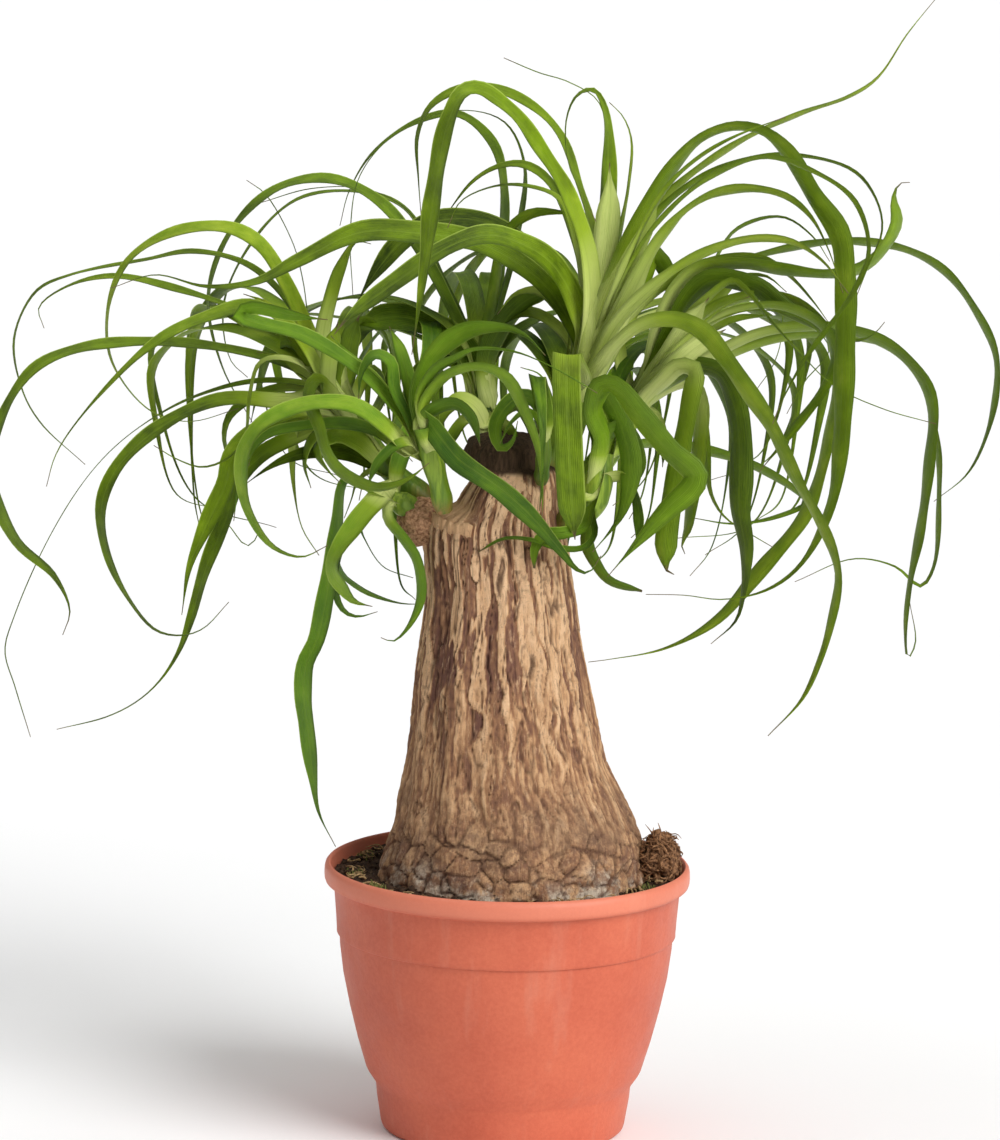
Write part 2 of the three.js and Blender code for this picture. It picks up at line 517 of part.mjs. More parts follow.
function ringAt(height, radius, lean, sides, ridge) {
  const ring = [];
  for (let side = 0; side < sides; side += 1) {
    const angle = (side / sides) * Math.PI * 2;
    const reach = radius + ridge(angle, height);
    ring.push(new THREE.Vector3(lean + reach * Math.cos(angle), reach * Math.sin(angle), height));
  }
  return ring;
}

// Ribs up the trunk, blocks round its foot, and broad lumps all over.
function barkRidge(angle, height) {
  const ribs = Math.cos(BARK_RIBS * angle + 0.9 * Math.sin(height / 38 + 2 * angle));
  const blocks = Math.cos(BARK_RIBS * angle) * Math.cos((height - 134) / 5.7);
  const plates = THREE.MathUtils.lerp(blocks, ribs, smooth(...BLOCKS_END, height));
  const lumps = Math.sin(3 * angle + 0.03 * height) * 0.3;
  return BARK_DEPTH * (plates * 0.75 * (1 - smooth(...RIBS_END, height)) + lumps);
}

function taperedTube(points, radii, sides, grow) {
  const curve = new THREE.CatmullRomCurve3(points, false, "centripetal");
  const steps = points.length + 1;
  const rings = [];
  let across = new THREE.Vector3(1, 0, 0);
  for (let step = 0; step <= steps; step += 1) {
    const part = step / steps;
    const middle = curve.getPoint(part);
    const ahead = curve.getTangent(part);
    across = across.clone().addScaledVector(ahead, -across.dot(ahead)).normalize();
    const beside = new THREE.Vector3().crossVectors(ahead, across);
    const radius = along(radii, part) + grow;
    const ring = [];
    for (let side = 0; side < sides; side += 1) {
      const angle = (side / sides) * Math.PI * 2;
      const point = middle.clone().addScaledVector(across, radius * Math.cos(angle));
      ring.push(point.addScaledVector(beside, radius * Math.sin(angle)));
    }
    rings.push(ring);
  }
  rings[0].forEach((point) => point.addScaledVector(curve.getTangent(0), -grow));
  rings[steps].forEach((point) => point.addScaledVector(curve.getTangent(1), grow));
  return skinOver(rings);
}

function ellipsoid(centre, radii, grow) {
  const ball = new THREE.IcosahedronGeometry(1, 1);
  ball.scale(radii[0] + grow, radii[1] + grow, radii[2] + grow);
  ball.translate(...centre);
  return solidFrom(ball);
}

function makeTrunk(grow) {
  const bodyRings = TRUNK_RINGS.map(([height, radius, lean], row) => {
    const end = row === 0 ? -grow : row === TRUNK_RINGS.length - 1 ? grow : 0;
    return ringAt(height + end, radius + grow, lean, TRUNK_SIDES, barkRidge);
  });
  const stubRings = STUB_RINGS.map(([height, radius, lean], row) => {
    const end = row === STUB_RINGS.length - 1 ? grow : 0;
    return ringAt(height + end, radius + grow, lean, STUB_SIDES, barkRidge);
  });
  let trunk = skinOver(bodyRings).add(skinOver(stubRings));
  trunk = trunk.add(ellipsoid(KNOB_CENTRE, KNOB_RADII, grow));
  for (let root = 0; root < ROOT_COUNT; root += 1) {
    const angle = ((root + 0.5 * draw(root + 1)) / ROOT_COUNT) * Math.PI * 2;
    const points = ROOT_ROUTE.map(([reach, height]) => {
      return new THREE.Vector3(reach * Math.cos(angle), reach * Math.sin(angle), height);
    });
    trunk = trunk.add(taperedTube(points, ROOT_RADII, ROOT_SIDES, grow));
  }
  return trunk;
}

// Soil

function soilHeight(radius, angle) {
  const ripple = Math.sin(5 * angle + 0.09 * radius) + Math.sin(8 * angle - 0.16 * radius);
  const heaped = SOIL_HEAP * smooth(0.2, 1, Math.sin(angle + 0.7));
  return SOIL_LEVEL + SOIL_BUMP * 0.5 * ripple + heaped;
}

function makeSoil(trunkRoom) {
  const rings = [];
  const plain = () => 0;
  const below = POT_INSIDE.filter(([, height]) => height < SOIL_LEVEL - SOIL_HEAP);
  below.forEach(([radius, height], row) => {
    const lift = row === 0 ? SEAT_GAP : 0;
    rings.push(ringAt(height + lift, radius - SEAT_GAP * 1.5, 0, SOIL_SIDES, plain));
  });
  for (const radius of SOIL_TOP_RADII) {
    const ring = ringAt(0, radius, 0, SOIL_SIDES, plain);
    ring.forEach((point, side) => {
      point.z = soilHeight(radius, (side / SOIL_SIDES) * Math.PI * 2);
    });
    rings.push(ring);
  }
  const clump = ellipsoid(SOIL_CLUMP_CENTRE, SOIL_CLUMP_RADII, 0);
  return skinOver(rings).add(clump).subtract(trunkRoom);
}

// Leaves

function leafCurve(points) {
  return new THREE.CatmullRomCurve3(points, false, "centripetal");
}

// A leaf's root lies inside the stem, on the side where the leaf goes.
function leafRoot(head, item, towards) {
  const up = head.tip.clone().sub(head.low);
  const root = head.low.clone().addScaledVector(up, item.start);
  const aside = towards.clone().sub(root).projectOnPlane(up.normalize());
  return root.add(aside.setLength(head.stemRadii[1] * ROOT_INSET));
}

// Points of a traced leaf, bent towards or away from the viewer past its root.
function tracedPoints(head, item, bend) {
  const count = item.route.length;
  const first = seenAt(...item.route[1], along(item.depth, 2 / count));
  const points = [leafRoot(head, item, first)];
  item.route.forEach(([x, z], index) => {
    const part = (index + 1) / count;
    const shift = bend * smooth(-0.1, 0.35, index / (count - 1));
    points.push(seenAt(x, z, along(item.depth, part) + shift));
  });
  return points;
}

// Points of a leaf of the rule, in an upright plane at its own angle round the head.
function ruledPoints(head, item, bend) {
  const outward = new THREE.Vector3(Math.cos(item.angle), Math.sin(item.angle), 0);
  const curl = item.curl;
  const arc = [[0.04, 0.3], [0.16, 0.72], [0.38, 1], [0.64, 0.96], [0.86, 0.62], [1, 0.1],
    [1 - 0.04 * curl, -0.35], [0.92 - 0.1 * curl, -0.8], [0.86 - 0.4 * curl, -1 + 0.15 * curl]];
  const points = [leafRoot(head, item, head.tip.clone().add(outward))];
  arc.forEach(([far, up], index) => {
    const height = up > 0 ? up * item.rise : -up * -item.drop;
    const point = head.tip.clone().addScaledVector(outward, far * item.reach);
    point.z += height;
    const shift = bend * smooth(-0.1, 0.35, index / (arc.length - 1));
    points.push(point.addScaledVector(item.side, shift));
  });
  return points;
}

function leafWidth(item, part) {
  const root = 0.45 + 0.55 * smooth(0, 0.12, part);
  const narrowed = smooth(item.fade[0], item.fade[1], part);
  const body = THREE.MathUtils.lerp(item.width * LEAF_BREADTH * root, LEAF_THREAD, narrowed);
  return body * (1 - 0.25 * smooth(0.9, 1, part));
}

// Places along the leaf, closer together where it turns.
function stations(curve, from) {
  const fine = curve.getSpacedPoints(FINE_STEPS);
  const length = curve.getLength();
  const parts = [from];
  let used = 0;
  for (let index = 1; index < fine.length - 1; index += 1) {
    const before = fine[index].clone().sub(fine[index - 1]);
    const after = fine[index + 1].clone().sub(fine[index]);
    used += length / FINE_STEPS / STATION_LENGTH + before.angleTo(after) / STATION_TURN;
    const part = index / FINE_STEPS;
    if (used >= 1 && part < LAST_STATION) {
      used = 0;
      if (part > from) {
        parts.push(part);
      }
    }
  }
  parts.push(1);
  return parts;
}

// Rings of a thin blade with a keel underneath: three points a station.
function bladeRings(curve, item, grow, from = 0) {
  const rings = [];
  for (const part of stations(curve, from)) {
    const middle = curve.getPointAt(part);
    const ahead = curve.getTangentAt(part);
    const sight = item.side ?? middle.clone().sub(VIEW_POINT).normalize();
    const broad = new THREE.Vector3().crossVectors(sight, ahead).normalize();
    const narrow = new THREE.Vector3().crossVectors(ahead, broad);
    const angle = THREE.MathUtils.degToRad(along(item.turn, part));
    const across = broad.clone().multiplyScalar(Math.cos(angle));
    across.addScaledVector(narrow, Math.sin(angle));
    const up = new THREE.Vector3().crossVectors(ahead, across).multiplyScalar(item.face);
    const width = leafWidth(item, part);
    const half = width / 2 + grow * 2;
    const keel = KEEL_BASE + KEEL_PER_WIDTH * width + grow * 2;
    middle.addScaledVector(up, grow);
    const left = middle.clone().addScaledVector(across, -half * item.face);
    const right = middle.clone().addScaledVector(across, half * item.face);
    const under = middle.clone().addScaledVector(up, -keel);
    rings.push([left, under, right]);
  }
  const last = rings.length - 1;
  for (const side of [0, 1, 2]) {
    rings[0][side].addScaledVector(curve.getTangentAt(from), -grow);
    rings[last][side].addScaledVector(curve.getTangentAt(1), grow);
  }
  return rings;
}

// The upper face of a leaf looks up where it leaves the head.
function upperFace(item, rises) {
  return item.side || rises ? 1 : -1;
}

function rootStart(seed) {
  return ROOT_LOWEST + ROOT_SPAN * draw(seed);
}

function tracedLeaves(head) {
  return head.leaves.map((item, order) => {
    const goesRight = item.route[item.route.length >> 1][0] > item.route[0][0];
    const start = rootStart(head.order * 40 + order);
    return { ...item, start, face: upperFace(item, goesRight), points: tracedPoints };
  });
}

function ruledLeaves(head) {
  const { count, middle, spread, reach, rise, drop, width } = head.rule;
  const items = [];
  for (let index = 0; index < count; index += 1) {
    const place = head.order * 90 + index * 7 + 500;
    const swing = (index + 0.5) / count - 0.5 + (0.5 * (draw(place) - 0.5)) / count;
    const angle = middle + swing * 2 * spread;
    const long = 0.7 + 0.6 * draw(place + 1);
    items.push({
      width: width * (0.8 + 0.35 * draw(place + 2)),
      fade: [0.35, 0.9],
      turn: [90, 75 + 30 * draw(place + 3), 90],
      angle,
      start: rootStart(place + 6),
      curl: draw(place + 5),
      reach: reach * long,
      rise: rise * (0.65 + 0.7 * draw(place + 4)),
      drop: drop * long,
      side: new THREE.Vector3(-Math.sin(angle), Math.cos(angle), 0),
      face: 1,
      points: ruledPoints,
    });
  }
  return items;
}

function boxesMeet(one, two) {
  return [0, 1, 2].every((axis) => one.min[axis] <= two.max[axis] && two.min[axis] <= one.max[axis]);
}

function meets(solid, others) {
  const box = solid.boundingBox();
  return others.some((other) => {
    return boxesMeet(box, other.box) && !solid.intersect(other.solid).isEmpty();
  });
}

function withBox(solid) {
  return { solid, box: solid.boundingBox() };
}

function makeStem(head, order) {
  head.order = order;
  const points = head.stem.map(([x, z], index) => seenAt(x, z, head.stemDepth[index]));
  head.low = points[1];
  head.tip = points[2];
  head.solid = taperedTube(points, head.stemRadii, STEM_SIDES, 0);
  head.taken = [withBox(taperedTube(points, head.stemRadii, STEM_SIDES, CLEARANCE))];
  head.own = [];
}

// The first bend that is clear of everything, or else of all but the head's own leaves.
function clearBend(head, item, fixed) {
  const others = HEADS.filter((other) => other !== head).flatMap((other) => other.taken);
  let best = null;
  for (const bend of BENDS) {
    const curve = leafCurve(item.points(head, item, bend));
    const wide = skinOver(bladeRings(curve, item, CLEARANCE));
    if (!meets(wide, others) && !meets(wide, fixed)) {
      const free = skinOver(bladeRings(curve, item, CLEARANCE, FREE_FROM));
      best ??= { curve, wide, free };
      if (!meets(free, head.own)) {
        return { curve, wide, free };
      }
    }
  }
  return best;
}

// Joins a leaf to its head, or leaves it out where there is no room for it.
function addLeaf(head, item, fixed) {
  const found = clearBend(head, item, fixed);
  if (found) {
    head.solid = head.solid.add(linksOver(bladeRings(found.curve, item, 0)));
    head.taken.push(withBox(found.wide));
    head.own.push(withBox(found.free));
  }
}

// Every head is its stem with its leaves joined in, each leaf bent clear of the others.
function makeHeads(trunkRoom, fixed) {
  HEADS.forEach(makeStem);
  for (const head of HEADS) {
    tracedLeaves(head).forEach((item) => addLeaf(head, item, fixed));
  }
  for (const head of HEADS.toReversed()) {
    ruledLeaves(head).forEach((item) => addLeaf(head, item, fixed));
  }
  return HEADS.map((head) => {
    const bodies = head.solid.subtract(trunkRoom).decompose();
    const whole = bodies.reduce((one, two) => (two.volume() > one.volume() ? two : one));
    return whole.simplify(FINEST_DETAIL);
  });
}

// The plant in its pot

const terracotta = new THREE.MeshStandardMaterial({ color: 0xcf6449, roughness: 0.6 });
const earth = new THREE.MeshStandardMaterial({ color: 0x3a2a20, roughness: 1 });
const bark = new THREE.MeshStandardMaterial({ color: 0xa9805c, roughness: 0.9 });
const leafGreen = new THREE.MeshStandardMaterial({ color: 0x5a8a1f, roughness: 0.5 });

const plant = new THREE.Group();

function addPiece(name, solid, material) {
  const mesh = new THREE.Mesh(geometryFrom(solid), material.clone());
  mesh.name = name;
  plant.add(mesh);
}

const trunkRoom = makeTrunk(SEAT_GAP);
const pot = makePot();
const soil = makeSoil(trunkRoom);
const heads = makeHeads(trunkRoom, [withBox(pot), withBox(soil)]);
addPiece("pot", pot, terracotta);
addPiece("soil", soil, earth);
addPiece("trunk", makeTrunk(0), bark);
heads.forEach((solid, index) => addPiece(HEADS[index].name, solid, leafGreen));

export default plant;
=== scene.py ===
"""A ponytail palm in a terracotta-coloured plastic pot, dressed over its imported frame.

The plans below are in millimetres and every mesh is in metres. The leaf routes are the ones of
the solids: a leaf is looked up by its tip in the solid of its head, so it lies where that solid is.
The short leaves at the middle of a head are drawn here only.
"""

import logging
import math
from dataclasses import dataclass, field
from enum import Enum
from typing import Callable, Iterable, Sequence

import bpy
import numpy as np
from mathutils import Matrix, Vector, kdtree, noise


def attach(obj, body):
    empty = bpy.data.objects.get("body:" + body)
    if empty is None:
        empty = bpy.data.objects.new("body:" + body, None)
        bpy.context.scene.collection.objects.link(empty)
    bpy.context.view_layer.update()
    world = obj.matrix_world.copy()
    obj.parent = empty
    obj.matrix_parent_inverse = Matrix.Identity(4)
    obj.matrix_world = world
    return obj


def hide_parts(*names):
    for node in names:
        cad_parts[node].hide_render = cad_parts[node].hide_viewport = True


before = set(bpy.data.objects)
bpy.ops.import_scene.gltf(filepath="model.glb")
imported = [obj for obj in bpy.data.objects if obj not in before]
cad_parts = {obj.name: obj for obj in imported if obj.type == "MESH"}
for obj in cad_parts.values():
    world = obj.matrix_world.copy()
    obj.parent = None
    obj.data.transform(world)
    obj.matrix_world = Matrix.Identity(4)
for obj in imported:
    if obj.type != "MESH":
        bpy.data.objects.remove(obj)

Piece = bpy.types.Object
Finish = bpy.types.Material
Socket = bpy.types.NodeSocket
Numbers = Sequence[float]
Points = Sequence[Numbers]
Spots = Iterable[tuple[np.ndarray, np.ndarray]]

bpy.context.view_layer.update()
LOG = logging.getLogger("ponytail_palm")
MM = 0.001

# Where the viewer stands, in millimetres, and how the camera is held there
VIEW_POINT = np.array([-7.5, -4000.0, 1050.0])
VIEW_PITCH = 10.25
VIEW_ROLL = 1.1
FOCAL_PER_HEIGHT = 7118 / 1140
SENSOR = 36.0

# Breadth of a blade beside its planned one, and of its thread in millimetres, as in the solids
LEAF_BREADTH = 1.15
LEAF_THREAD = 1.3

# How far a solid leaf may be bent aside, in the order tried, and how near its tip has to be found
BENDS = (0, -5, 5, -10, 10, -16, 16, -22, 22, -29, 29, -37, 37, -46, 46, -56, 56)
FOUND_WITHIN = 1.5

# Where leaves start, as shares of the stem's height and radius
ROOT_LOWEST = 0.35
ROOT_SPAN = 0.5
ROOT_INSET = 0.45
SHORT_LOWEST = 0.3


class Slot(Enum):
    """The finishes of the pieces: pot, soil, bark and leaf."""

    POT = "pot"
    SOIL = "soil"
    BARK = "bark"
    LEAF = "leaf"


@dataclass
class Leaf:
    """One leaf as the viewer sees it.

    Attributes:
        width: Breadth in millimetres before the fold along the middle.
        fade: Where along the leaf it starts and stops narrowing to a thread.
        turn: Degrees from broadside, spread evenly along the leaf.
        depth: Distance behind the plane y = 0, spread evenly along the leaf.
        route: Points x and z where the leaf crosses that plane for the viewer.
        shade: How much lighter than its head's other leaves it is, or darker below zero: partly its own
            tone, partly painted shade for leaves that lie in shadow.
        side: The way square to the leaf's own plane, if its turn isn't from the line of sight.
        start: How far up the stem it starts.
        face: Whether the hollow of the blade is on its upper side, 1, or its lower side, -1.
    """

    width: float
    fade: Numbers
    turn: Numbers
    depth: Numbers
    route: Points
    shade: float = 0.0
    side: Numbers | None = None
    start: float = 0.5
    face: float = 1.0


@dataclass
class RuledLeaf:
    """One leaf of the rule for the far side, in an upright plane at its own angle."""

    width: float
    turn: Numbers
    angle: float
    start: float
    curl: float
    reach: float
    rise: float
    drop: float
    side: Numbers
    fade: Numbers = (0.3, 0.9)
    # Painted shade: the far side's leaves are a little darker.
    shade: float = -0.1
    face: float = 1.0


@dataclass(frozen=True)
class Rule:
    """How many leaves the far side of a head has, where they point and how far they go."""

    count: int
    middle: float
    spread: float
    reach: float
    rise: float
    drop: float
    width: float


@dataclass(frozen=True)
class HeadLook:
    """A head's look: how far its pale roots reach, and how light its leaves and stem are, with painted
    shade that darkens the low heads and the heads behind.

    cool tells how bluish its green is, and girth how thick its stem is beside the solid's.
    """

    pale_reach: float
    tone: float
    cool: float
    stem: float
    girth: float


@dataclass(frozen=True)
class HeadPlan:
    """One head: its look, its stem, its traced leaves, the rule for the others and short ones."""

    name: str
    look: HeadLook
    stem: Points
    stem_depth: Numbers
    stem_radii: Numbers
    leaves: Sequence[Leaf]
    rule: Rule
    short: Sequence[Leaf] = ()


# The plans of the heads, each with its stem from the trunk to the fan of leaves

FRONT_LEFT = HeadPlan(
    name="head_front_left",
    look=HeadLook(38, 0.55, 0.5, 0.8, 0.72),
    stem=[[-40, 360], [-44, 378], [-56, 412]],
    stem_depth=[-22, -26, -26],
    stem_radii=[6, 8.5, 8],
    leaves=[
        Leaf(9.5, [0.85, 1], [62, 35, 55], [-26, -32, -45], [[-58, 405], [-79, 432], [-96, 446],
            [-123, 461], [-148, 467], [-158, 471], [-152, 475], [-128, 471], [-108, 469]]),
        Leaf(9, [0.5, 0.98], [60, 50, 50], [-26, -20, -14], [[-58, 408], [-79, 434], [-96, 450],
            [-106, 460]]),
        Leaf(11.5, [0.55, 1], [50, 48, 52], [-26, -46, -30], [[-60, 396], [-72, 407], [-91, 420],
            [-112, 422], [-131, 417], [-146, 408], [-155, 393], [-156, 374], [-151, 356], [-138, 338],
            [-121, 332], [-106, 339]]),
        Leaf(11, [0.5, 1], [60, 62, 60], [-26, -34, -42], [[-60, 394], [-80, 406], [-97, 410], [-122, 408],
            [-141, 403], [-151, 392], [-157, 376], [-160, 352]]),
        Leaf(13, [0.5, 0.98], [45, 40, 50], [-26, -36, -50], [[-56, 425], [-52, 442], [-44, 454],
            [-34, 462], [-24, 466], [-4, 466], [6, 461], [16, 451]], -0.2),
        Leaf(10, [0.3, 0.8], [60, 65, 60], [-26, -52, -66], [[-55, 425], [-46, 442], [-35, 449],
            [-25, 454], [-2, 453], [19, 445], [46, 430]]),
        Leaf(10.5, [0.5, 0.98], [60, 60, 45], [-26, -48, -54], [[-53, 420], [-43, 436], [-33, 442],
            [-23, 444], [-13, 442], [-5, 437], [4, 421], [13, 397], [16, 370], [16, 357]]),
        Leaf(13, [0.55, 1], [45, 35, 40, 60], [-26, -54, -54, -50], [[-52, 412], [-34, 391], [-20, 381],
            [-8, 373], [12, 355], [28, 337], [36, 328], [43, 326], [50, 336]], -0.3),
    ],
    rule=Rule(count=3, middle=1.9, spread=0.6, reach=115, rise=60, drop=60, width=11),
    short=[
        Leaf(9, [0.8, 1], [45, 40, 50], [-26, -18, -10], [[-57, 418], [-62, 438], [-67, 454],
            [-73, 466]], 0.1),
        Leaf(8, [0.7, 1], [50, 45, 60], [-26, -34, -40], [[-60, 412], [-69, 430], [-72, 446], [-81, 450],
            [-88, 441], [-90, 424]], -0.2),
        Leaf(9, [0.7, 1], [40, 45, 50], [-26, -38, -46], [[-55, 410], [-45, 420], [-34, 422], [-25, 414],
            [-20, 398]], -0.3),
        Leaf(7, [0.7, 1], [45, 45, 50], [-26, -36, -44], [[-59, 400], [-68, 398], [-78, 388],
            [-84, 374]], -0.25),
    ],
)

LEFT_KNOB = HeadPlan(
    name="head_left_knob",
    look=HeadLook(35, 0.55, 0.6, 0.75, 0.85),
    stem=[[-52, 358], [-60, 362], [-70, 367]],
    stem_depth=[-2, -3, -4],
    stem_radii=[6, 8, 8],
    leaves=[
        Leaf(8, [0.5, 1], [50, 45, 60], [-4, -26, -34], [[-71, 364], [-72, 356], [-62, 343], [-55, 332],
            [-52, 314], [-54, 303], [-61, 290], [-68, 284], [-75, 286]]),
        Leaf(13, [0.7, 1], [25, 40, 68, 40], [-4, -30, -36], [[-73, 372], [-79, 366], [-87, 357],
            [-94, 347], [-100, 338], [-104, 329], [-103, 322], [-98, 315], [-91, 307], [-80, 304]], 0.1),
        Leaf(9, [0.55, 1], [60, 60, 60], [-4, -8, -12], [[-73, 369], [-84, 362], [-96, 345], [-102, 325],
            [-100, 307], [-95, 300], [-88, 298], [-77, 301]]),
        Leaf(12, [0.72, 0.97], [75, 66, 50, 45, 45, 50], [-4, -13, -14, -12, -11, -10], [[-71, 368],
            [-85, 375], [-95, 379], [-99, 373], [-101, 353], [-103, 338], [-107, 310], [-112, 284],
            [-118, 270], [-119, 250], [-117, 235], [-113, 205], [-109, 183], [-99, 163]]),
        Leaf(7, [0.5, 1], [60, 65, 66], [-4, 10, 22], [[-72, 366], [-90, 352], [-101, 335], [-98, 323],
            [-90, 316], [-81, 311], [-63, 306], [-50, 306]]),
        Leaf(6, [0.25, 0.6], [60, 65, 66], [-4, 16, 18], [[-72, 368], [-83, 364], [-88, 352], [-84, 341],
            [-74, 327], [-57, 321]]),
    ],
    rule=Rule(count=2, middle=2, spread=0.45, reach=105, rise=40, drop=80, width=10),
)

LEFT = HeadPlan(
    name="head_left",
    look=HeadLook(90, 0.52, 0.0, 0.5, 0.85),
    stem=[[-48, 364], [-72, 384], [-104, 424]],
    stem_depth=[10, 14, 16],
    stem_radii=[7, 8, 8.5],
    leaves=[
        Leaf(12, [0.3, 0.95], [40, 68, 72], [16, 22, 10], [[-106, 432], [-118, 460], [-132, 490],
            [-147, 512], [-165, 521], [-196, 518], [-221, 502], [-232, 478], [-232, 448], [-221, 427],
            [-205, 413], [-185, 409], [-158, 417]]),
        Leaf(7, [0.4, 1], [60, 72, 70], [16, 45, 62], [[-106, 432], [-122, 466], [-140, 490], [-158, 502],
            [-186, 507], [-211, 502], [-255, 492], [-274, 482], [-286, 455], [-281, 425], [-270, 406],
            [-245, 383]]),
        Leaf(7.5, [0.6, 1], [62, 68, 60], [16, 62, 90], [[-107, 430], [-130, 455], [-152, 471],
            [-196, 486], [-230, 492], [-255, 486], [-272, 473], [-269, 461]]),
        Leaf(11, [0.75, 1], [50, 66, 68, 66, 50, 40], [16, -8, -20], [[-106, 428], [-122, 440],
            [-150, 449], [-200, 455], [-250, 450], [-277, 436], [-297, 398], [-298, 370], [-284, 338],
            [-262, 318], [-253, 298], [-257, 284]]),
        Leaf(12, [0.4, 0.95], [55, 62, 60], [16, -25, -46], [[-107, 432], [-128, 464], [-150, 477],
            [-176, 470], [-196, 461], [-215, 447], [-249, 409], [-262, 388], [-267, 370]]),
        Leaf(12, [0.4, 0.98], [40, 54, 60, 60], [16, -30, -42], [[-107, 424], [-130, 422], [-165, 423],
            [-186, 416], [-212, 399], [-229, 379], [-236, 358], [-232, 331], [-219, 305], [-204, 288],
            [-190, 285], [-177, 289], [-162, 305]]),
        Leaf(7, [0.2, 0.45], [60, 78, 60], [16, 26, 40], [[-106, 427], [-140, 434], [-180, 425],
            [-215, 405], [-240, 381], [-264, 343], [-285, 294], [-290, 274], [-284, 253], [-275, 224]]),
        Leaf(12, [0.45, 0.8], [50, 50, 60], [16, -20, -32], [[-101, 412], [-125, 402], [-145, 391],
            [-158, 376], [-165, 354], [-176, 325], [-184, 295], [-190, 277], [-200, 260], [-213, 247],
            [-231, 237], [-260, 229]], -0.2),
        Leaf(12, [0.6, 0.98], [45, 45, 30], [16, -36, -46], [[-104, 415], [-128, 412], [-150, 404],
            [-162, 389], [-165, 374], [-176, 349], [-185, 325], [-189, 297]]),
        Leaf(6, [0.3, 0.98], [65, 70, 50], [16, -8, -4], [[-106, 430], [-128, 446], [-146, 444],
            [-152, 424], [-154, 402], [-163, 389], [-178, 383], [-192, 387], [-206, 395]]),
        Leaf(9, [0.3, 0.7], [60, 65, 60], [16, -14, -30], [[-106, 426], [-132, 430], [-150, 424],
            [-163, 413], [-166, 399], [-158, 376], [-149, 354], [-146, 345], [-152, 338], [-162, 349],
            [-169, 358]]),
        Leaf(9, [0.75, 1], [40, 45, 50], [16, -34, -44], [[-106, 428], [-114, 434], [-118, 424],
            [-112, 408], [-107, 392], [-99, 382], [-83, 374], [-72, 374], [-60, 379], [-49, 388]]),
        Leaf(12, [0.6, 0.98], [50, 50, 60], [16, 10, 20], [[-107, 432], [-119, 450], [-131, 458],
            [-141, 451], [-146, 433], [-151, 409]], -0.3),
        Leaf(8, [0.3, 0.8], [55, 50, 60], [16, -4, -15], [[-105, 421], [-118, 417], [-126, 407],
            [-127, 388], [-126, 373], [-121, 349], [-111, 333]]),
        Leaf(12, [0.5, 0.98], [45, 50, 40], [14, 4, 0], [[-80, 388], [-95, 393], [-112, 394], [-130, 389],
            [-141, 383], [-153, 374]], -0.25),
        Leaf(12, [0.6, 0.95], [45, 45, 50], [14, -6, -12], [[-78, 390], [-90, 400], [-103, 403],
            [-113, 394], [-107, 383], [-99, 375]], -0.2),
        Leaf(8, [0.4, 0.9], [45, 50, 60], [14, 6, 4], [[-72, 381], [-82, 383], [-90, 376], [-93, 366],
            [-97, 355]]),
        Leaf(6, [0.25, 0.6], [65, 72, 60], [16, 30, 40], [[-107, 436], [-118, 465], [-122, 490],
            [-128, 512], [-144, 540], [-155, 548]]),
    ],
    rule=Rule(count=5, middle=1.75, spread=0.65, reach=130, rise=42, drop=85, width=12),
    short=[
        Leaf(9, [0.75, 1], [35, 35, 60], [16, 10, 4], [[-108, 436], [-111, 458], [-107, 480], [-101, 500],
            [-93, 514], [-84, 513]], 0.15),
        Leaf(11, [0.85, 1], [30, 30, 30], [20, 24, 30], [[-99, 415], [-97, 438], [-95, 458],
            [-90, 472]], -0.3),
        Leaf(10, [0.85, 1], [35, 30, 45], [12, 2, -4], [[-106, 428], [-107, 444], [-105, 458],
            [-102, 468]], 0.0),
        Leaf(11, [0.6, 1], [40, 35, 55], [16, 4, -4], [[-109, 434], [-118, 448], [-130, 464], [-143, 478],
            [-156, 483]], 0.2),
        Leaf(10, [0.6, 1], [45, 40, 60], [16, 6, -2], [[-108, 430], [-121, 438], [-134, 447],
            [-148, 450]], 0.2),
        Leaf(9, [0.6, 1], [50, 45, 50], [14, 26, 34], [[-96, 408], [-92, 424], [-84, 440], [-78, 436],
            [-75, 420]], -0.35),
        Leaf(8, [0.6, 1], [50, 50, 50], [14, 30, 40], [[-90, 400], [-82, 414], [-74, 430], [-70, 446],
            [-64, 440]], -0.3),
        Leaf(7, [0.5, 1], [55, 60, 60], [16, 34, 44], [[-104, 432], [-98, 456], [-88, 470], [-76, 462],
            [-70, 444]], -0.3),
        Leaf(9, [0.6, 1], [50, 50, 50], [16, -10, -16], [[-104, 416], [-122, 416], [-138, 410],
            [-148, 398], [-152, 384]], -0.3),
        Leaf(8, [0.5, 1], [50, 55, 50], [14, -2, -6], [[-92, 404], [-104, 408], [-116, 400], [-120, 386],
            [-116, 372]], -0.25),
    ],
)

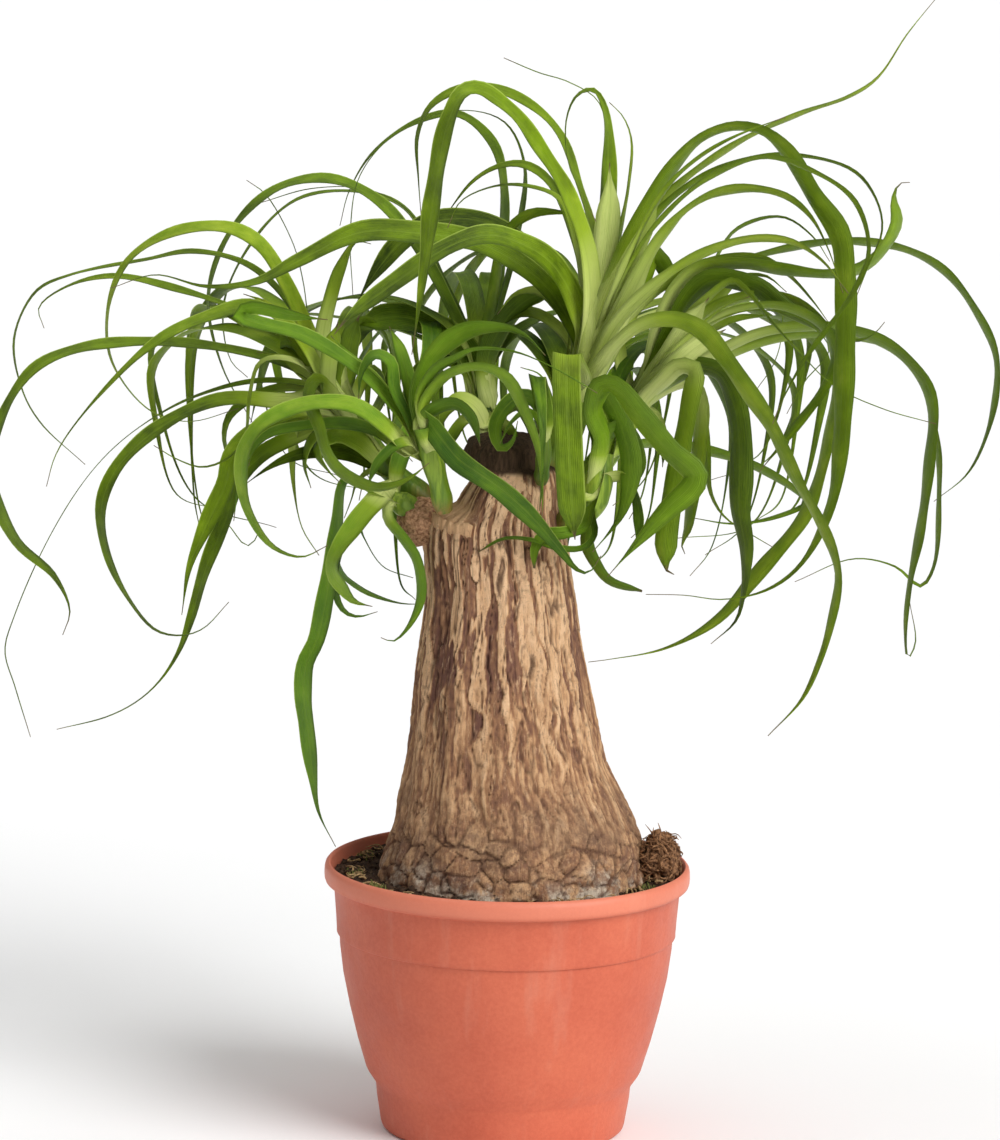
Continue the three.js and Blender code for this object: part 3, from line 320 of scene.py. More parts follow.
CENTRE = HeadPlan(
    name="head_centre",
    look=HeadLook(150, 0.62, 0.0, 0.9, 0.9),
    stem=[[14, 384], [27, 404], [38, 442]],
    stem_depth=[4, 5, 5],
    stem_radii=[9, 10.5, 10],
    leaves=[
        Leaf(13, [0.5, 0.95], [50, 35, 60], [5, -26, -40], [[37, 455], [31, 470], [18, 489], [0, 504],
            [-25, 516], [-55, 520], [-90, 520], [-125, 503], [-150, 490], [-178, 487], [-206, 493],
            [-231, 485]], -0.35),
        Leaf(15, [0.75, 1], [50, 60, 55], [5, -62, -112], [[40, 455], [42, 480], [39, 511], [27, 544],
            [10, 571], [-6, 591], [-23, 602], [-34, 600], [-42, 585], [-50, 539], [-54, 499],
            [-60, 450]], -0.1),
        Leaf(10, [0.6, 1], [60, 68, 65], [5, 42, 70], [[41, 460], [42, 520], [33, 550], [23, 576],
            [8, 592], [-15, 603], [-36, 602], [-52, 592], [-59, 575], [-58, 551], [-56, 528]], -0.15),
        Leaf(13, [0.85, 1], [45, 42, 45], [5, -56, -96], [[38, 462], [34, 478], [26, 495], [16, 507],
            [0, 516], [-18, 520], [-40, 513], [-70, 492], [-97, 470], [-104, 461]], -0.25),
        Leaf(11, [0.5, 1], [60, 64, 60], [5, 30, 46], [[38, 470], [31, 520], [16, 551], [2, 560],
            [-12, 559], [-27, 550], [-45, 526]], -0.15),
        Leaf(8, [0.4, 1], [65, 70, 65], [5, -14, -30], [[37, 470], [32, 516], [22, 541], [3, 548],
            [-16, 547], [-34, 538], [-41, 523]]),
        Leaf(14, [0.4, 0.85], [10, 35, 72, 72], [5, -12, -26, -44], [[44, 460], [48, 510], [50, 560],
            [47, 592], [40, 603], [31, 600], [25, 586], [27, 560], [34, 545], [43, 528]]),
        Leaf(9, [0.4, 1], [65, 70, 60], [5, 10, 16], [[46, 470], [56, 520], [61, 550], [62, 575],
            [57, 588], [49, 596]]),
        Leaf(8, [0.2, 0.6], [60, 75, 60], [5, 22, 36], [[42, 460], [46, 520], [48, 570], [43, 596],
            [26, 607], [9, 612], [-11, 620]]),
        Leaf(15, [0.62, 0.95], [15, 45, 80, 50, 50, 60, 62], [5, -20, -32, -38, -40, -38, -36], [[42, 452],
            [55, 496], [68, 529], [86, 561], [101, 577], [119, 584], [136, 582], [150, 571], [166, 546],
            [181, 524], [185, 500], [186, 453], [185, 400], [180, 366], [164, 333], [145, 318], [120, 312],
            [98, 314], [76, 314]]),
        Leaf(10, [0.5, 0.97], [60, 68, 70], [5, 22, 46], [[43, 455], [60, 502], [76, 535], [91, 552],
            [124, 576], [157, 592], [184, 602], [200, 613], [216, 638], [232, 659]]),
        Leaf(8, [0.5, 1], [60, 68, 60], [5, 6, 12], [[44, 458], [62, 510], [82, 548], [99, 565],
            [118, 577], [149, 590]]),
        Leaf(7.5, [0.5, 1], [62, 68, 65], [5, -6, -12], [[44, 456], [62, 508], [80, 537], [108, 558],
            [141, 568], [176, 565], [192, 557], [203, 540], [205, 525], [198, 506], [191, 486]], -0.15),
        Leaf(6.5, [0.85, 1], [66, 72, 74, 60], [5, -18, -28], [[45, 452], [60, 498], [76, 526], [104, 553],
            [138, 567], [166, 559], [189, 543], [198, 515], [191, 493], [163, 451], [150, 425],
            [146, 414]]),
        Leaf(15, [0.55, 0.95], [25, 50, 74, 62, 72], [5, -8, -14, -18, -20], [[46, 448], [60, 480],
            [75, 513], [92, 535], [108, 545], [128, 549], [150, 545], [164, 534], [175, 515], [184, 490]]),
        Leaf(10.5, [0.6, 1], [50, 60, 65], [5, -36, -46], [[44, 447], [56, 471], [80, 496], [105, 512],
            [130, 520], [154, 519], [171, 509], [187, 490]]),
        Leaf(11, [0.6, 1], [60, 68, 60], [5, 12, 12], [[46, 450], [68, 480], [92, 499], [118, 509],
            [140, 508], [154, 499], [168, 484], [177, 472]]),
        Leaf(14, [0.55, 1.03], [60, 65, 45, 50, 66, 70, 55, 50], [5, -40, -56, -62, -68, -70], [[44, 444],
            [56, 459], [73, 471], [90, 473], [106, 466], [118, 452], [131, 434], [146, 412], [161, 382],
            [175, 358], [183, 340], [186, 325], [182, 298], [177, 279], [167, 255], [148, 233]]),
        Leaf(14, [0.86, 1], [90, 90], [5, -38, -58, -60, -62, -62, -52], [[34, 440], [30, 449], [28, 453],
            [28, 443], [29, 420], [30, 403], [32, 374], [34, 353], [35, 345]], -0.3, [1.0, 0.0, 0.0]),
    ],
    rule=Rule(count=6, middle=1.5, spread=1.1, reach=170, rise=45, drop=75, width=13),
    short=[
        Leaf(15, [0.8, 1], [15, 25, 45], [0, -12, -20], [[40, 444], [48, 474], [58, 500], [69, 524],
            [80, 545]], 0.5),
        Leaf(14, [0.8, 1], [10, 20, 45], [0, -14, -18], [[40, 448], [44, 478], [48, 508], [50, 536],
            [50, 562]], 0.45),
        Leaf(13, [0.8, 1], [35, 38, 45], [5, 34, 44], [[34, 470], [12, 505], [-20, 527], [-48, 527],
            [-68, 514], [-82, 496], [-93, 477]], -0.3),
        Leaf(11, [0.9, 1], [38, 40, 40], [5, 16, 24], [[48, 446], [60, 470], [70, 495], [76, 510],
            [84, 500], [90, 480], [94, 462]], -0.35),
        Leaf(10, [0.6, 1], [40, 50, 60], [5, -8, -14], [[34, 458], [24, 478], [12, 488], [-2, 486],
            [-12, 474]], -0.1),
        Leaf(9, [0.6, 1], [45, 55, 60], [5, 18, 26], [[34, 452], [20, 470], [4, 476], [-10, 468],
            [-18, 452]], -0.3),
    ],
)

RIGHT = HeadPlan(
    name="head_right",
    look=HeadLook(140, 0.55, 0.05, 0.9, 0.9),
    stem=[[18, 364], [45, 386], [71, 428]],
    stem_depth=[14, 17, 17],
    stem_radii=[6.5, 8.5, 9],
    leaves=[
        Leaf(14, [0.85, 1], [55, 56, 60, 66, 60], [17, 4, -6, -12, -15], [[74, 440], [80, 468], [90, 492],
            [103, 503], [126, 506], [151, 503], [177, 501], [194, 505], [206, 516], [213, 531], [211, 545],
            [214, 553], [220, 554]]),
        Leaf(14, [0.55, 1], [50, 45, 50], [17, 4, -4], [[75, 438], [86, 465], [97, 487], [110, 497],
            [134, 493], [150, 482], [175, 469], [191, 463], [201, 466], [208, 474]], -0.3),
        Leaf(9, [0.3, 0.75], [55, 65, 65], [17, -16, -24], [[74, 434], [88, 463], [105, 484], [121, 496],
            [131, 489], [144, 473], [160, 456], [180, 437], [209, 424], [239, 416]]),
        Leaf(8, [0.4, 1], [55, 64, 60], [17, -4, -12], [[74, 436], [90, 456], [106, 472], [120, 483],
            [131, 487]]),
        Leaf(14, [0.5, 0.98], [20, 35, 50], [17, 12, 8], [[73, 434], [84, 457], [100, 471], [112, 486],
            [126, 498], [140, 499], [152, 490]]),
        Leaf(13, [0.9, 1], [60, 50, 35, 40], [17, -14, -24, -28], [[71, 426], [82, 437], [92, 446],
            [101, 444], [99, 427], [95, 402], [90, 370], [87, 345], [88, 328], [92, 326]], -0.2),
        Leaf(15, [0.55, 1], [60, 50, 42, 48, 52], [17, 0, -8, -10, -12], [[73, 428], [88, 440], [104, 447],
            [116, 443], [124, 429], [128, 410], [129, 384], [129, 364], [133, 342], [132, 317], [128, 300],
            [114, 286]], -0.35),
        Leaf(12, [0.85, 1], [60, 55, 55, 60], [17, 8, 4, 0], [[72, 424], [88, 435], [100, 437], [105, 426],
            [105, 404], [102, 377], [99, 352], [96, 343], [98, 338]]),
        Leaf(11, [0.4, 0.9], [60, 60, 55, 60], [17, 14, 12, 10], [[72, 426], [90, 438], [99, 441],
            [104, 430], [106, 414], [109, 392], [112, 373], [120, 360], [134, 351], [148, 343]]),
        Leaf(12, [0.7, 1], [55, 68, 66, 68], [17, 16, 18, 22], [[73, 428], [86, 441], [106, 451],
            [136, 466], [164, 471], [190, 469], [214, 459], [232, 440], [237, 424], [236, 395], [232, 355],
            [227, 325], [225, 296], [227, 280], [231, 289], [227, 313]]),
        Leaf(10, [0.6, 0.95], [55, 68, 70, 70], [17, 26, 30, 32], [[73, 426], [92, 439], [123, 455],
            [150, 464], [180, 466], [208, 461], [228, 444], [240, 405], [242, 370], [240, 333], [233, 322],
            [218, 333], [194, 337], [161, 323]]),
        Leaf(10, [0.8, 1], [62, 74, 70, 72], [17, 30, 36, 42], [[74, 434], [84, 462], [100, 490],
            [126, 507], [160, 517], [188, 520], [218, 516], [240, 505], [258, 484], [272, 455], [270, 418],
            [258, 388], [239, 371]]),
        Leaf(7.5, [0.5, 1], [65, 72, 70], [17, 42, 52], [[75, 440], [94, 475], [108, 502], [122, 525],
            [148, 533], [166, 522], [176, 508]], -0.2),
        Leaf(6, [0.2, 0.5], [60, 70, 70], [17, 24, 18], [[76, 436], [108, 472], [134, 487], [148, 484],
            [150, 466], [146, 449], [136, 433]]),
        Leaf(12, [0.7, 0.95], [60, 65, 60, 55, 60], [17, 10, 6, 2, 0], [[74, 430], [90, 458], [110, 480],
            [135, 488], [158, 484], [176, 468], [182, 445], [180, 418], [172, 378], [165, 360], [141, 329],
            [117, 300], [88, 283], [57, 276], [44, 274]]),
        Leaf(9, [0.85, 1], [60, 65, 60], [17, -8, -12], [[75, 432], [95, 460], [122, 479], [150, 482],
            [172, 472], [181, 455], [176, 437], [154, 406], [139, 386]]),
        Leaf(6, [0.25, 0.6], [60, 70, 70], [17, -18, -24], [[75, 434], [100, 465], [130, 479], [160, 475],
            [177, 458], [163, 438], [154, 420]]),
    ],
    rule=Rule(count=5, middle=1.45, spread=0.6, reach=150, rise=45, drop=90, width=13),
    short=[
        Leaf(13, [0.8, 1], [30, 30, 35], [17, -2, -8], [[77, 438], [88, 455], [98, 472],
            [108, 486]], 0.35),
        Leaf(12, [0.8, 1], [35, 35, 35], [17, -6, -12], [[76, 434], [90, 448], [104, 460],
            [118, 468]], 0.3),
        Leaf(10, [0.7, 1], [45, 50, 50], [17, 22, 30], [[66, 424], [60, 444], [56, 462], [50, 470],
            [46, 456]], -0.3),
        Leaf(9, [0.7, 1], [45, 50, 50], [14, 20, 26], [[60, 412], [68, 420], [78, 418], [84, 404],
            [84, 388]], -0.35),
    ],
)

RIGHT_LOW = HeadPlan(
    name="head_right_low",
    look=HeadLook(30, 0.36, 0.35, 0.8, 0.85),
    stem=[[26, 353], [42, 364], [52, 396]],
    stem_depth=[-10, -14, -14],
    stem_radii=[6, 10.5, 8],
    leaves=[
        Leaf(13, [0.6, 0.95], [60, 30, 30, 50], [-14, -20, -26, -30], [[48, 402], [45, 418], [49, 431],
            [55, 424], [62, 408], [66, 392], [65, 376], [61, 360], [54, 349], [45, 338]]),
        Leaf(15, [0.7, 0.98], [60, 45, 40, 35, 40], [-14, -30, -36, -40, -40], [[49, 404], [44, 420],
            [49, 434], [58, 433], [70, 419], [88, 398], [103, 384], [101, 377], [88, 364], [68, 341],
            [54, 324]]),
        Leaf(10, [0.4, 1.4], [40, 50, 60], [-14, -20, -24], [[44, 366], [43, 354], [42, 343], [47, 332],
            [55, 322], [74, 316]]),
        Leaf(6, [0.4, 1.2], [60, 62, 50], [-14, -48, -50], [[44, 362], [46, 349], [40, 341], [27, 340],
            [8, 345], [-6, 345], [-20, 337]]),
        Leaf(8, [0.7, 1.2], [60, 45, 40], [-14, -52, -56], [[43, 364], [40, 353], [28, 349], [17, 347],
            [12, 339], [12, 328]]),
        Leaf(9, [0.5, 1], [60, 60, 60], [-14, 2, 10], [[51, 392], [66, 400], [84, 402], [106, 399],
            [134, 391], [159, 377], [166, 369], [151, 361], [126, 356], [101, 359]]),
    ],
    rule=Rule(count=2, middle=0.9, spread=0.5, reach=105, rise=50, drop=80, width=12),
    short=[
        Leaf(10, [0.8, 1], [45, 45, 45], [-14, -20, -24], [[50, 398], [56, 410], [64, 408], [70, 394],
            [70, 376]], -0.2),
        Leaf(8, [0.7, 1], [45, 45, 50], [-14, -34, -40], [[44, 372], [37, 368], [32, 356],
            [31, 342]], 0.1),
        Leaf(8, [0.7, 1], [45, 50, 50], [-14, -24, -28], [[50, 380], [60, 382], [68, 372], [71, 356],
            [70, 342]], -0.1),
    ],
)

FRONT = HeadPlan(
    name="head_front",
    look=HeadLook(16, 0.3, 0.3, 0.3, 0.8),
    stem=[[15, 378], [16, 392], [17, 408]],
    stem_depth=[-24, -33, -34],
    stem_radii=[4, 5.5, 5],
    leaves=[
        Leaf(9, [0.6, 0.97], [45, 30, 40], [-34, -40, -46], [[16, 412], [11, 425], [1, 427], [-8, 419],
            [-12, 408], [-8, 397], [-2, 401], [1, 413]]),
        Leaf(6, [0.4, 1], [50, 60, 60], [-34, -44, -48], [[15, 410], [6, 419], [-3, 412], [-9, 400]]),
        Leaf(8, [0.3, 0.9], [50, 60, 60], [-34, -40, -44], [[18, 412], [19, 428], [13, 440], [2, 444]]),
    ],
    rule=Rule(count=1, middle=-1.4, spread=0.5, reach=50, rise=35, drop=30, width=8),
)

BACK = HeadPlan(
    name="head_back",
    look=HeadLook(70, 0.42, 0.1, 0.1, 0.7),
    stem=[[-10, 380], [-14, 402], [-20, 436]],
    stem_depth=[18, 27, 30],
    stem_radii=[7, 8.5, 9],
    leaves=[
        Leaf(11, [0.4, 1], [58, 64, 66], [30, 60, 80], [[-18, 450], [-12, 485], [-9, 545], [-16, 572],
            [-36, 588], [-60, 583], [-84, 565], [-97, 543], [-102, 523]], -0.1),
        Leaf(8, [0.25, 0.6], [65, 74, 70], [30, 46, 34], [[-16, 450], [-2, 515], [2, 560], [-10, 584],
            [-36, 590], [-70, 577], [-91, 552], [-96, 520], [-94, 483]]),
        Leaf(11, [0.5, 1], [60, 65, 65], [30, 46, 52], [[-22, 442], [-38, 478], [-56, 510], [-80, 538],
            [-108, 550], [-138, 544], [-163, 520], [-176, 482], [-168, 442], [-150, 409]]),
        Leaf(7, [0.25, 0.6], [65, 74, 70], [30, 62, 78], [[-22, 446], [-42, 494], [-62, 531], [-86, 544],
            [-118, 544], [-148, 535]]),
        Leaf(8, [0.4, 1], [65, 74, 70], [30, 72, 88], [[-23, 444], [-43, 492], [-64, 533], [-92, 543],
            [-126, 538], [-150, 515], [-167, 478], [-163, 445], [-153, 435]]),
        Leaf(11, [0.7, 1], [55, 60, 65], [30, 26, 20], [[-19, 450], [-14, 490], [-8, 520], [6, 532],
            [24, 533], [39, 530]]),
        Leaf(11, [0.7, 1.05], [40, 50, 50], [27, 12, 2], [[-15, 406], [-23, 421], [-32, 425], [-40, 418],
            [-44, 405]]),
        Leaf(9, [0.7, 1.05], [45, 50, 50], [27, 14, 6], [[-13, 406], [-6, 419], [1, 422], [7, 412],
            [9, 400]]),
    ],
    rule=Rule(count=8, middle=1.9, spread=1.1, reach=180, rise=40, drop=90, width=11),
    short=[
        Leaf(15, [0.85, 1], [25, 22, 30], [30, 34, 38], [[-25, 446], [-36, 460], [-52, 469], [-72, 472],
            [-93, 466]], -0.2),
        Leaf(12, [0.85, 1], [35, 35, 40], [30, 20, 14], [[-18, 446], [-12, 464], [-2, 478], [10, 486],
            [22, 484]], -0.25),
        Leaf(9, [0.7, 1], [45, 50, 50], [27, 14, 6], [[-18, 412], [-28, 414], [-36, 404],
            [-38, 392]], -0.25),
        Leaf(9, [0.7, 1], [45, 50, 50], [27, 12, 4], [[-10, 412], [-4, 408], [2, 396]], -0.3),
        Leaf(11, [0.8, 1], [40, 45, 50], [30, 36, 40], [[-26, 440], [-40, 448], [-52, 444], [-60, 430],
            [-63, 412]], -0.3),
    ],
)

BACK_RIGHT = HeadPlan(
    name="head_back_right",
    look=HeadLook(80, 0.36, 0.1, 0.2, 0.8),
    stem=[[12, 374], [20, 392], [30, 418]],
    stem_depth=[18, 42, 62],
    stem_radii=[6, 8, 8],
    leaves=[
        Leaf(12, [0.7, 1.05], [40, 50, 50], [44, 36, 28], [[21, 396], [24, 412], [21, 423], [14, 417],
            [12, 402]]),
    ],
    rule=Rule(count=8, middle=1.3, spread=0.85, reach=165, rise=42, drop=100, width=13),
)

HEADS = (
    FRONT_LEFT, LEFT_KNOB, LEFT, CENTRE, RIGHT, RIGHT_LOW,
    FRONT, BACK, BACK_RIGHT,
)


# Small sums


def draw(seed: float) -> float:
    """Returns a repeatable draw from 0 to 1 for a seed."""
    wave = math.sin(seed * 12.9898) * 43758.5453
    return wave - math.floor(wave)


def ease(low: float, high: float, value: float) -> float:
    """Eases one number from 0 at low to 1 at high."""
    part = min(max((value - low) / (high - low), 0.0), 1.0)
    return part * part * (3.0 - 2.0 * part)


def smooth(low: float, high: float, values: np.ndarray) -> np.ndarray:
    """Eases each number of an array from 0 at low to 1 at high."""
    part = np.clip((values - low) / (high - low), 0.0, 1.0)
    return part * part * (3.0 - 2.0 * part)


def along(values: Numbers, part: np.ndarray | float) -> np.ndarray | float:
    """Reads a list spread evenly from 0 to 1 at one place or many."""
    return np.interp(part, np.linspace(0.0, 1.0, len(values)), values)


def ripple(x: float, y: float, z: float) -> float:
    """Returns smooth noise from about -1 to 1 at a place, the same on each run."""
    return noise.noise(Vector((x, y, z)))


def unit(vectors: np.ndarray) -> np.ndarray:
    """Scales vectors in the last axis to a length of one."""
    return vectors / np.maximum(np.linalg.norm(vectors, axis=-1, keepdims=True), 1e-9)


def seen_at(x: float, z: float, y: float) -> np.ndarray:
    """Finds the point at a depth that the viewer sees over a point of the plane y = 0.

    Args:
        x: Place across on the plane.
        z: Height on the plane.
        y: The depth wanted.

    Returns:
        The point in millimetres.
    """
    share = (y - VIEW_POINT[1]) / -VIEW_POINT[1]
    return VIEW_POINT + (np.array([x, 0.0, z]) - VIEW_POINT) * share


def through(points: Sequence[np.ndarray], steps: int = 14) -> np.ndarray:
    """Draws a smooth centripetal curve through points.

    Args:
        points: The points in order.
        steps: How many short pieces each span gets.

    Returns:
        The points of the curve, one row each.
    """
    knots = np.array([2 * points[0] - points[1], *points, 2 * points[-1] - points[-2]], float)
    share = np.linspace(0.0, 1.0, steps, endpoint=False)[:, None]
    curve = []
    for p0, p1, p2, p3 in zip(knots, knots[1:], knots[2:], knots[3:]):
        gaps = [math.sqrt(math.dist(a, b)) for a, b in ((p0, p1), (p1, p2), (p2, p3))]
        middle = gaps[1] if gaps[1] > 1e-4 else 1.0
        before = gaps[0] if gaps[0] > 1e-4 else middle
        after = gaps[2] if gaps[2] > 1e-4 else middle
        start = (p1 - p0) / before - (p2 - p0) / (before + middle) + (p2 - p1) / middle
        end = (p2 - p1) / middle - (p3 - p1) / (middle + after) + (p3 - p2) / after
        start, end = start * middle, end * middle
        square = -3 * p1 + 3 * p2 - 2 * start - end
        cube = 2 * p1 - 2 * p2 + start + end
        curve.append(p1 + share * (start + share * (square + share * cube)))
    curve.append(knots[-2][None, :])
    return np.concatenate(curve)


def evenly(curve: np.ndarray, count: int) -> tuple[np.ndarray, float]:
    """Spaces points evenly by length along a curve.

    Args:
        curve: The curve's points.
        count: How many points are wanted.

    Returns:
        The points, and the curve's length.
    """
    steps = np.linalg.norm(np.diff(curve, axis=0), axis=1)
    place = np.concatenate([[0.0], np.cumsum(steps)])
    wanted = np.linspace(0.0, place[-1], count)
    return np.stack([np.interp(wanted, place, curve[:, axis]) for axis in range(3)], 1), place[-1]


# Meshes


@dataclass
class Skin:
    """Points, faces and point values that are gathered into one mesh."""

    points: list[np.ndarray] = field(default_factory=list)
    faces: list[tuple[int, ...]] = field(default_factory=list)
    slots: list[int] = field(default_factory=list)
    values: dict[str, list[np.ndarray]] = field(default_factory=dict)
    count: int = 0

    def add(
        self,
        points: np.ndarray,
        faces: Iterable[tuple[int, ...]],
        slot: int = 0,
        **values: np.ndarray | float,
    ) -> None:
        """Adds a closed shell, turned outwards.

        Args:
            points: Its points in millimetres.
            faces: Its faces, by places in points.
            slot: Which of the piece's materials it wears.
            values: Under each name one number for each point, or one for all.
        """
        faces = [tuple(face) for face in faces]
        corners = np.array([face[:3] for face in faces])
        one, two, three = (points[corners[:, side]] for side in range(3))
        if np.einsum("ij,ij->i", one, np.cross(two, three)).sum() < 0 and len(faces) > 2:
            faces = [face[::-1] for face in faces]
        self.faces += [tuple(place + self.count for place in face) for face in faces]
        self.slots += [slot] * len(faces)
        self.points.append(points)
        for name, numbers in values.items():
            self.values.setdefault(name, []).append(np.broadcast_to(numbers, len(points)))
        self.count += len(points)

    def build(self, name: str, materials: Sequence[Finish]) -> Piece:
        """Makes the object.

        Args:
            name: The piece's name.
            materials: Its materials, in the order of the slots.

        Returns:
            The object at the origin, in metres.
        """
        mesh = bpy.data.meshes.new(name)
        mesh.from_pydata((np.concatenate(self.points) * MM).tolist(), [], self.faces)
        for label, numbers in self.values.items():
            layer = mesh.attributes.new(label, "FLOAT", "POINT")
            layer.data.foreach_set("value", np.concatenate(numbers).astype(np.float32))
        for material in materials:
            mesh.materials.append(material)
        mesh.polygons.foreach_set("material_index", self.slots)
        piece = bpy.data.objects.new(name, mesh)
        bpy.context.scene.collection.objects.link(piece)
        return piece


def tube_faces(rows: int, sides: int) -> list[tuple[int, ...]]:
    """Lists the faces of a closed tube of rings, with a cap at each end."""
    faces: list[tuple[int, ...]] = []
    for row in range(rows - 1):
        for side in range(sides):
            beside = (side + 1) % sides
            low, high = row * sides, (row + 1) * sides
            faces.append((low + side, low + beside, high + beside, high + side))
    faces.append(tuple(reversed(range(sides))))
    faces.append(tuple(range((rows - 1) * sides, rows * sides)))
    return faces


def tube(route: np.ndarray, radii: np.ndarray, sides: int) -> np.ndarray:
    """Places rings of points round a route.

    Args:
        route: The middle of each ring.
        radii: The radius of each ring, or of each point of each ring.
        sides: Points in a ring.

    Returns:
        The points, ring after ring.
    """
    ahead = unit(np.gradient(route, axis=0))
    across = np.array([1.0, 0.0, 0.0])
    rings = []
    turns = np.arange(sides) / sides * math.tau
    for middle, forward, radius in zip(route, ahead, radii):
        across = unit(across - forward * across.dot(forward))
        beside = np.cross(forward, across)
        reach = np.broadcast_to(radius, sides)[:, None]
        ring = np.cos(turns)[:, None] * across + np.sin(turns)[:, None] * beside
        rings.append(middle + reach * ring)
    return np.concatenate(rings)


def pick_none() -> None:
    """Leaves nothing selected and nothing in edit mode."""
    if bpy.context.object and bpy.context.object.mode != "OBJECT":
        bpy.ops.object.mode_set(mode="OBJECT")
    bpy.ops.object.select_all(action="DESELECT")


def pick(piece: Piece) -> None:
    """Selects one piece alone and makes it active."""
    pick_none()
    piece.select_set(True)
    bpy.context.view_layer.objects.active = piece


def smooth_shade(piece: Piece, degrees: float) -> None:
    """Shades a piece smoothly but for edges sharper than an angle."""
    pick(piece)
    bpy.ops.object.shade_smooth_by_angle(angle=math.radians(degrees))


def apply_all(piece: Piece) -> None:
    """Applies every modifier of a piece, in order."""
    pick(piece)
    for modifier in list(piece.modifiers):
        bpy.ops.object.modifier_apply(modifier=modifier.name)


def spun(name: str, profile: Points, steps: int) -> Piece:
    """Spins an outline of radius and height round the upright axis.

    Args:
        name: The piece's name.
        profile: Radius and height in millimetres, from axis to axis.
        steps: How many steps the full turn has.

    Returns:
        The closed piece, with its faces outwards.
    """
    mesh = bpy.data.meshes.new(name)
    points = [(radius * MM, 0.0, height * MM) for radius, height in profile]
    mesh.from_pydata(points, [(low, low + 1) for low in range(len(points) - 1)], [])
    piece = bpy.data.objects.new(name, mesh)
    bpy.context.scene.collection.objects.link(piece)
    pick(piece)
    bpy.ops.object.mode_set(mode="EDIT")
    bpy.ops.mesh.select_all(action="SELECT")
    bpy.ops.mesh.spin(steps=steps, angle=math.tau, center=(0, 0, 0), axis=(0, 0, 1))
    bpy.ops.mesh.select_all(action="SELECT")
    bpy.ops.mesh.remove_doubles(threshold=1e-6)
    bpy.ops.mesh.normals_make_consistent(inside=False)
    bpy.ops.object.mode_set(mode="OBJECT")
    return piece


def join(name: str, pieces: Sequence[Piece]) -> Piece:
    """Joins pieces into one under a name."""
    pick(pieces[0])
    for piece in pieces:
        piece.select_set(True)
    bpy.ops.object.join()
    pieces[0].name = name
    return pieces[0]


def lump(
    name: str,
    centre: Numbers,
    radii: Numbers,
    size: Callable[[Vector], float],
    material: Finish,
) -> Piece:
    """Makes a rough egg.

    Args:
        name: The piece's name.
        centre: Its middle in millimetres.
        radii: Its three radii.
        size: Takes a way from the middle and returns how much of its radius is reached there.
        material: Its finish.

    Returns:
        The piece.
    """
    pick_none()
    bpy.ops.mesh.primitive_ico_sphere_add(subdivisions=5, radius=1.0)
    piece = bpy.context.object
    piece.name = piece.data.name = name
    for vertex in piece.data.vertices:
        way = vertex.co.normalized()
        reach = size(way)
        vertex.co = (Vector(centre) + Vector(a * b * reach for a, b in zip(way, radii))) * MM
    piece.data.materials.append(material)
    return piece


def settle(piece: Piece, slot: Slot, node: str) -> Piece:
    """Fixes a finished piece to the frame.

    Args:
        piece: The piece.
        slot: Not used.
        node: The solid that it stands for.

    Returns:
        The piece.
    """
    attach(piece, "root")
    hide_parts(node)
    LOG.info("%s: %d faces", piece.name, len(piece.data.polygons))
    return piece


# Finishes


def paint(code: str) -> tuple[float, float, float, float]:
    """Turns a colour code such as #C9A27A into linear red, green, blue and alpha."""
    parts = [int(code[place : place + 2], 16) / 255 for place in (1, 3, 5)]
    linear = [part / 12.92 if part <= 0.04045 else ((part + 0.055) / 1.055) ** 2.4 for part in parts]
    return (*linear, 1.0)


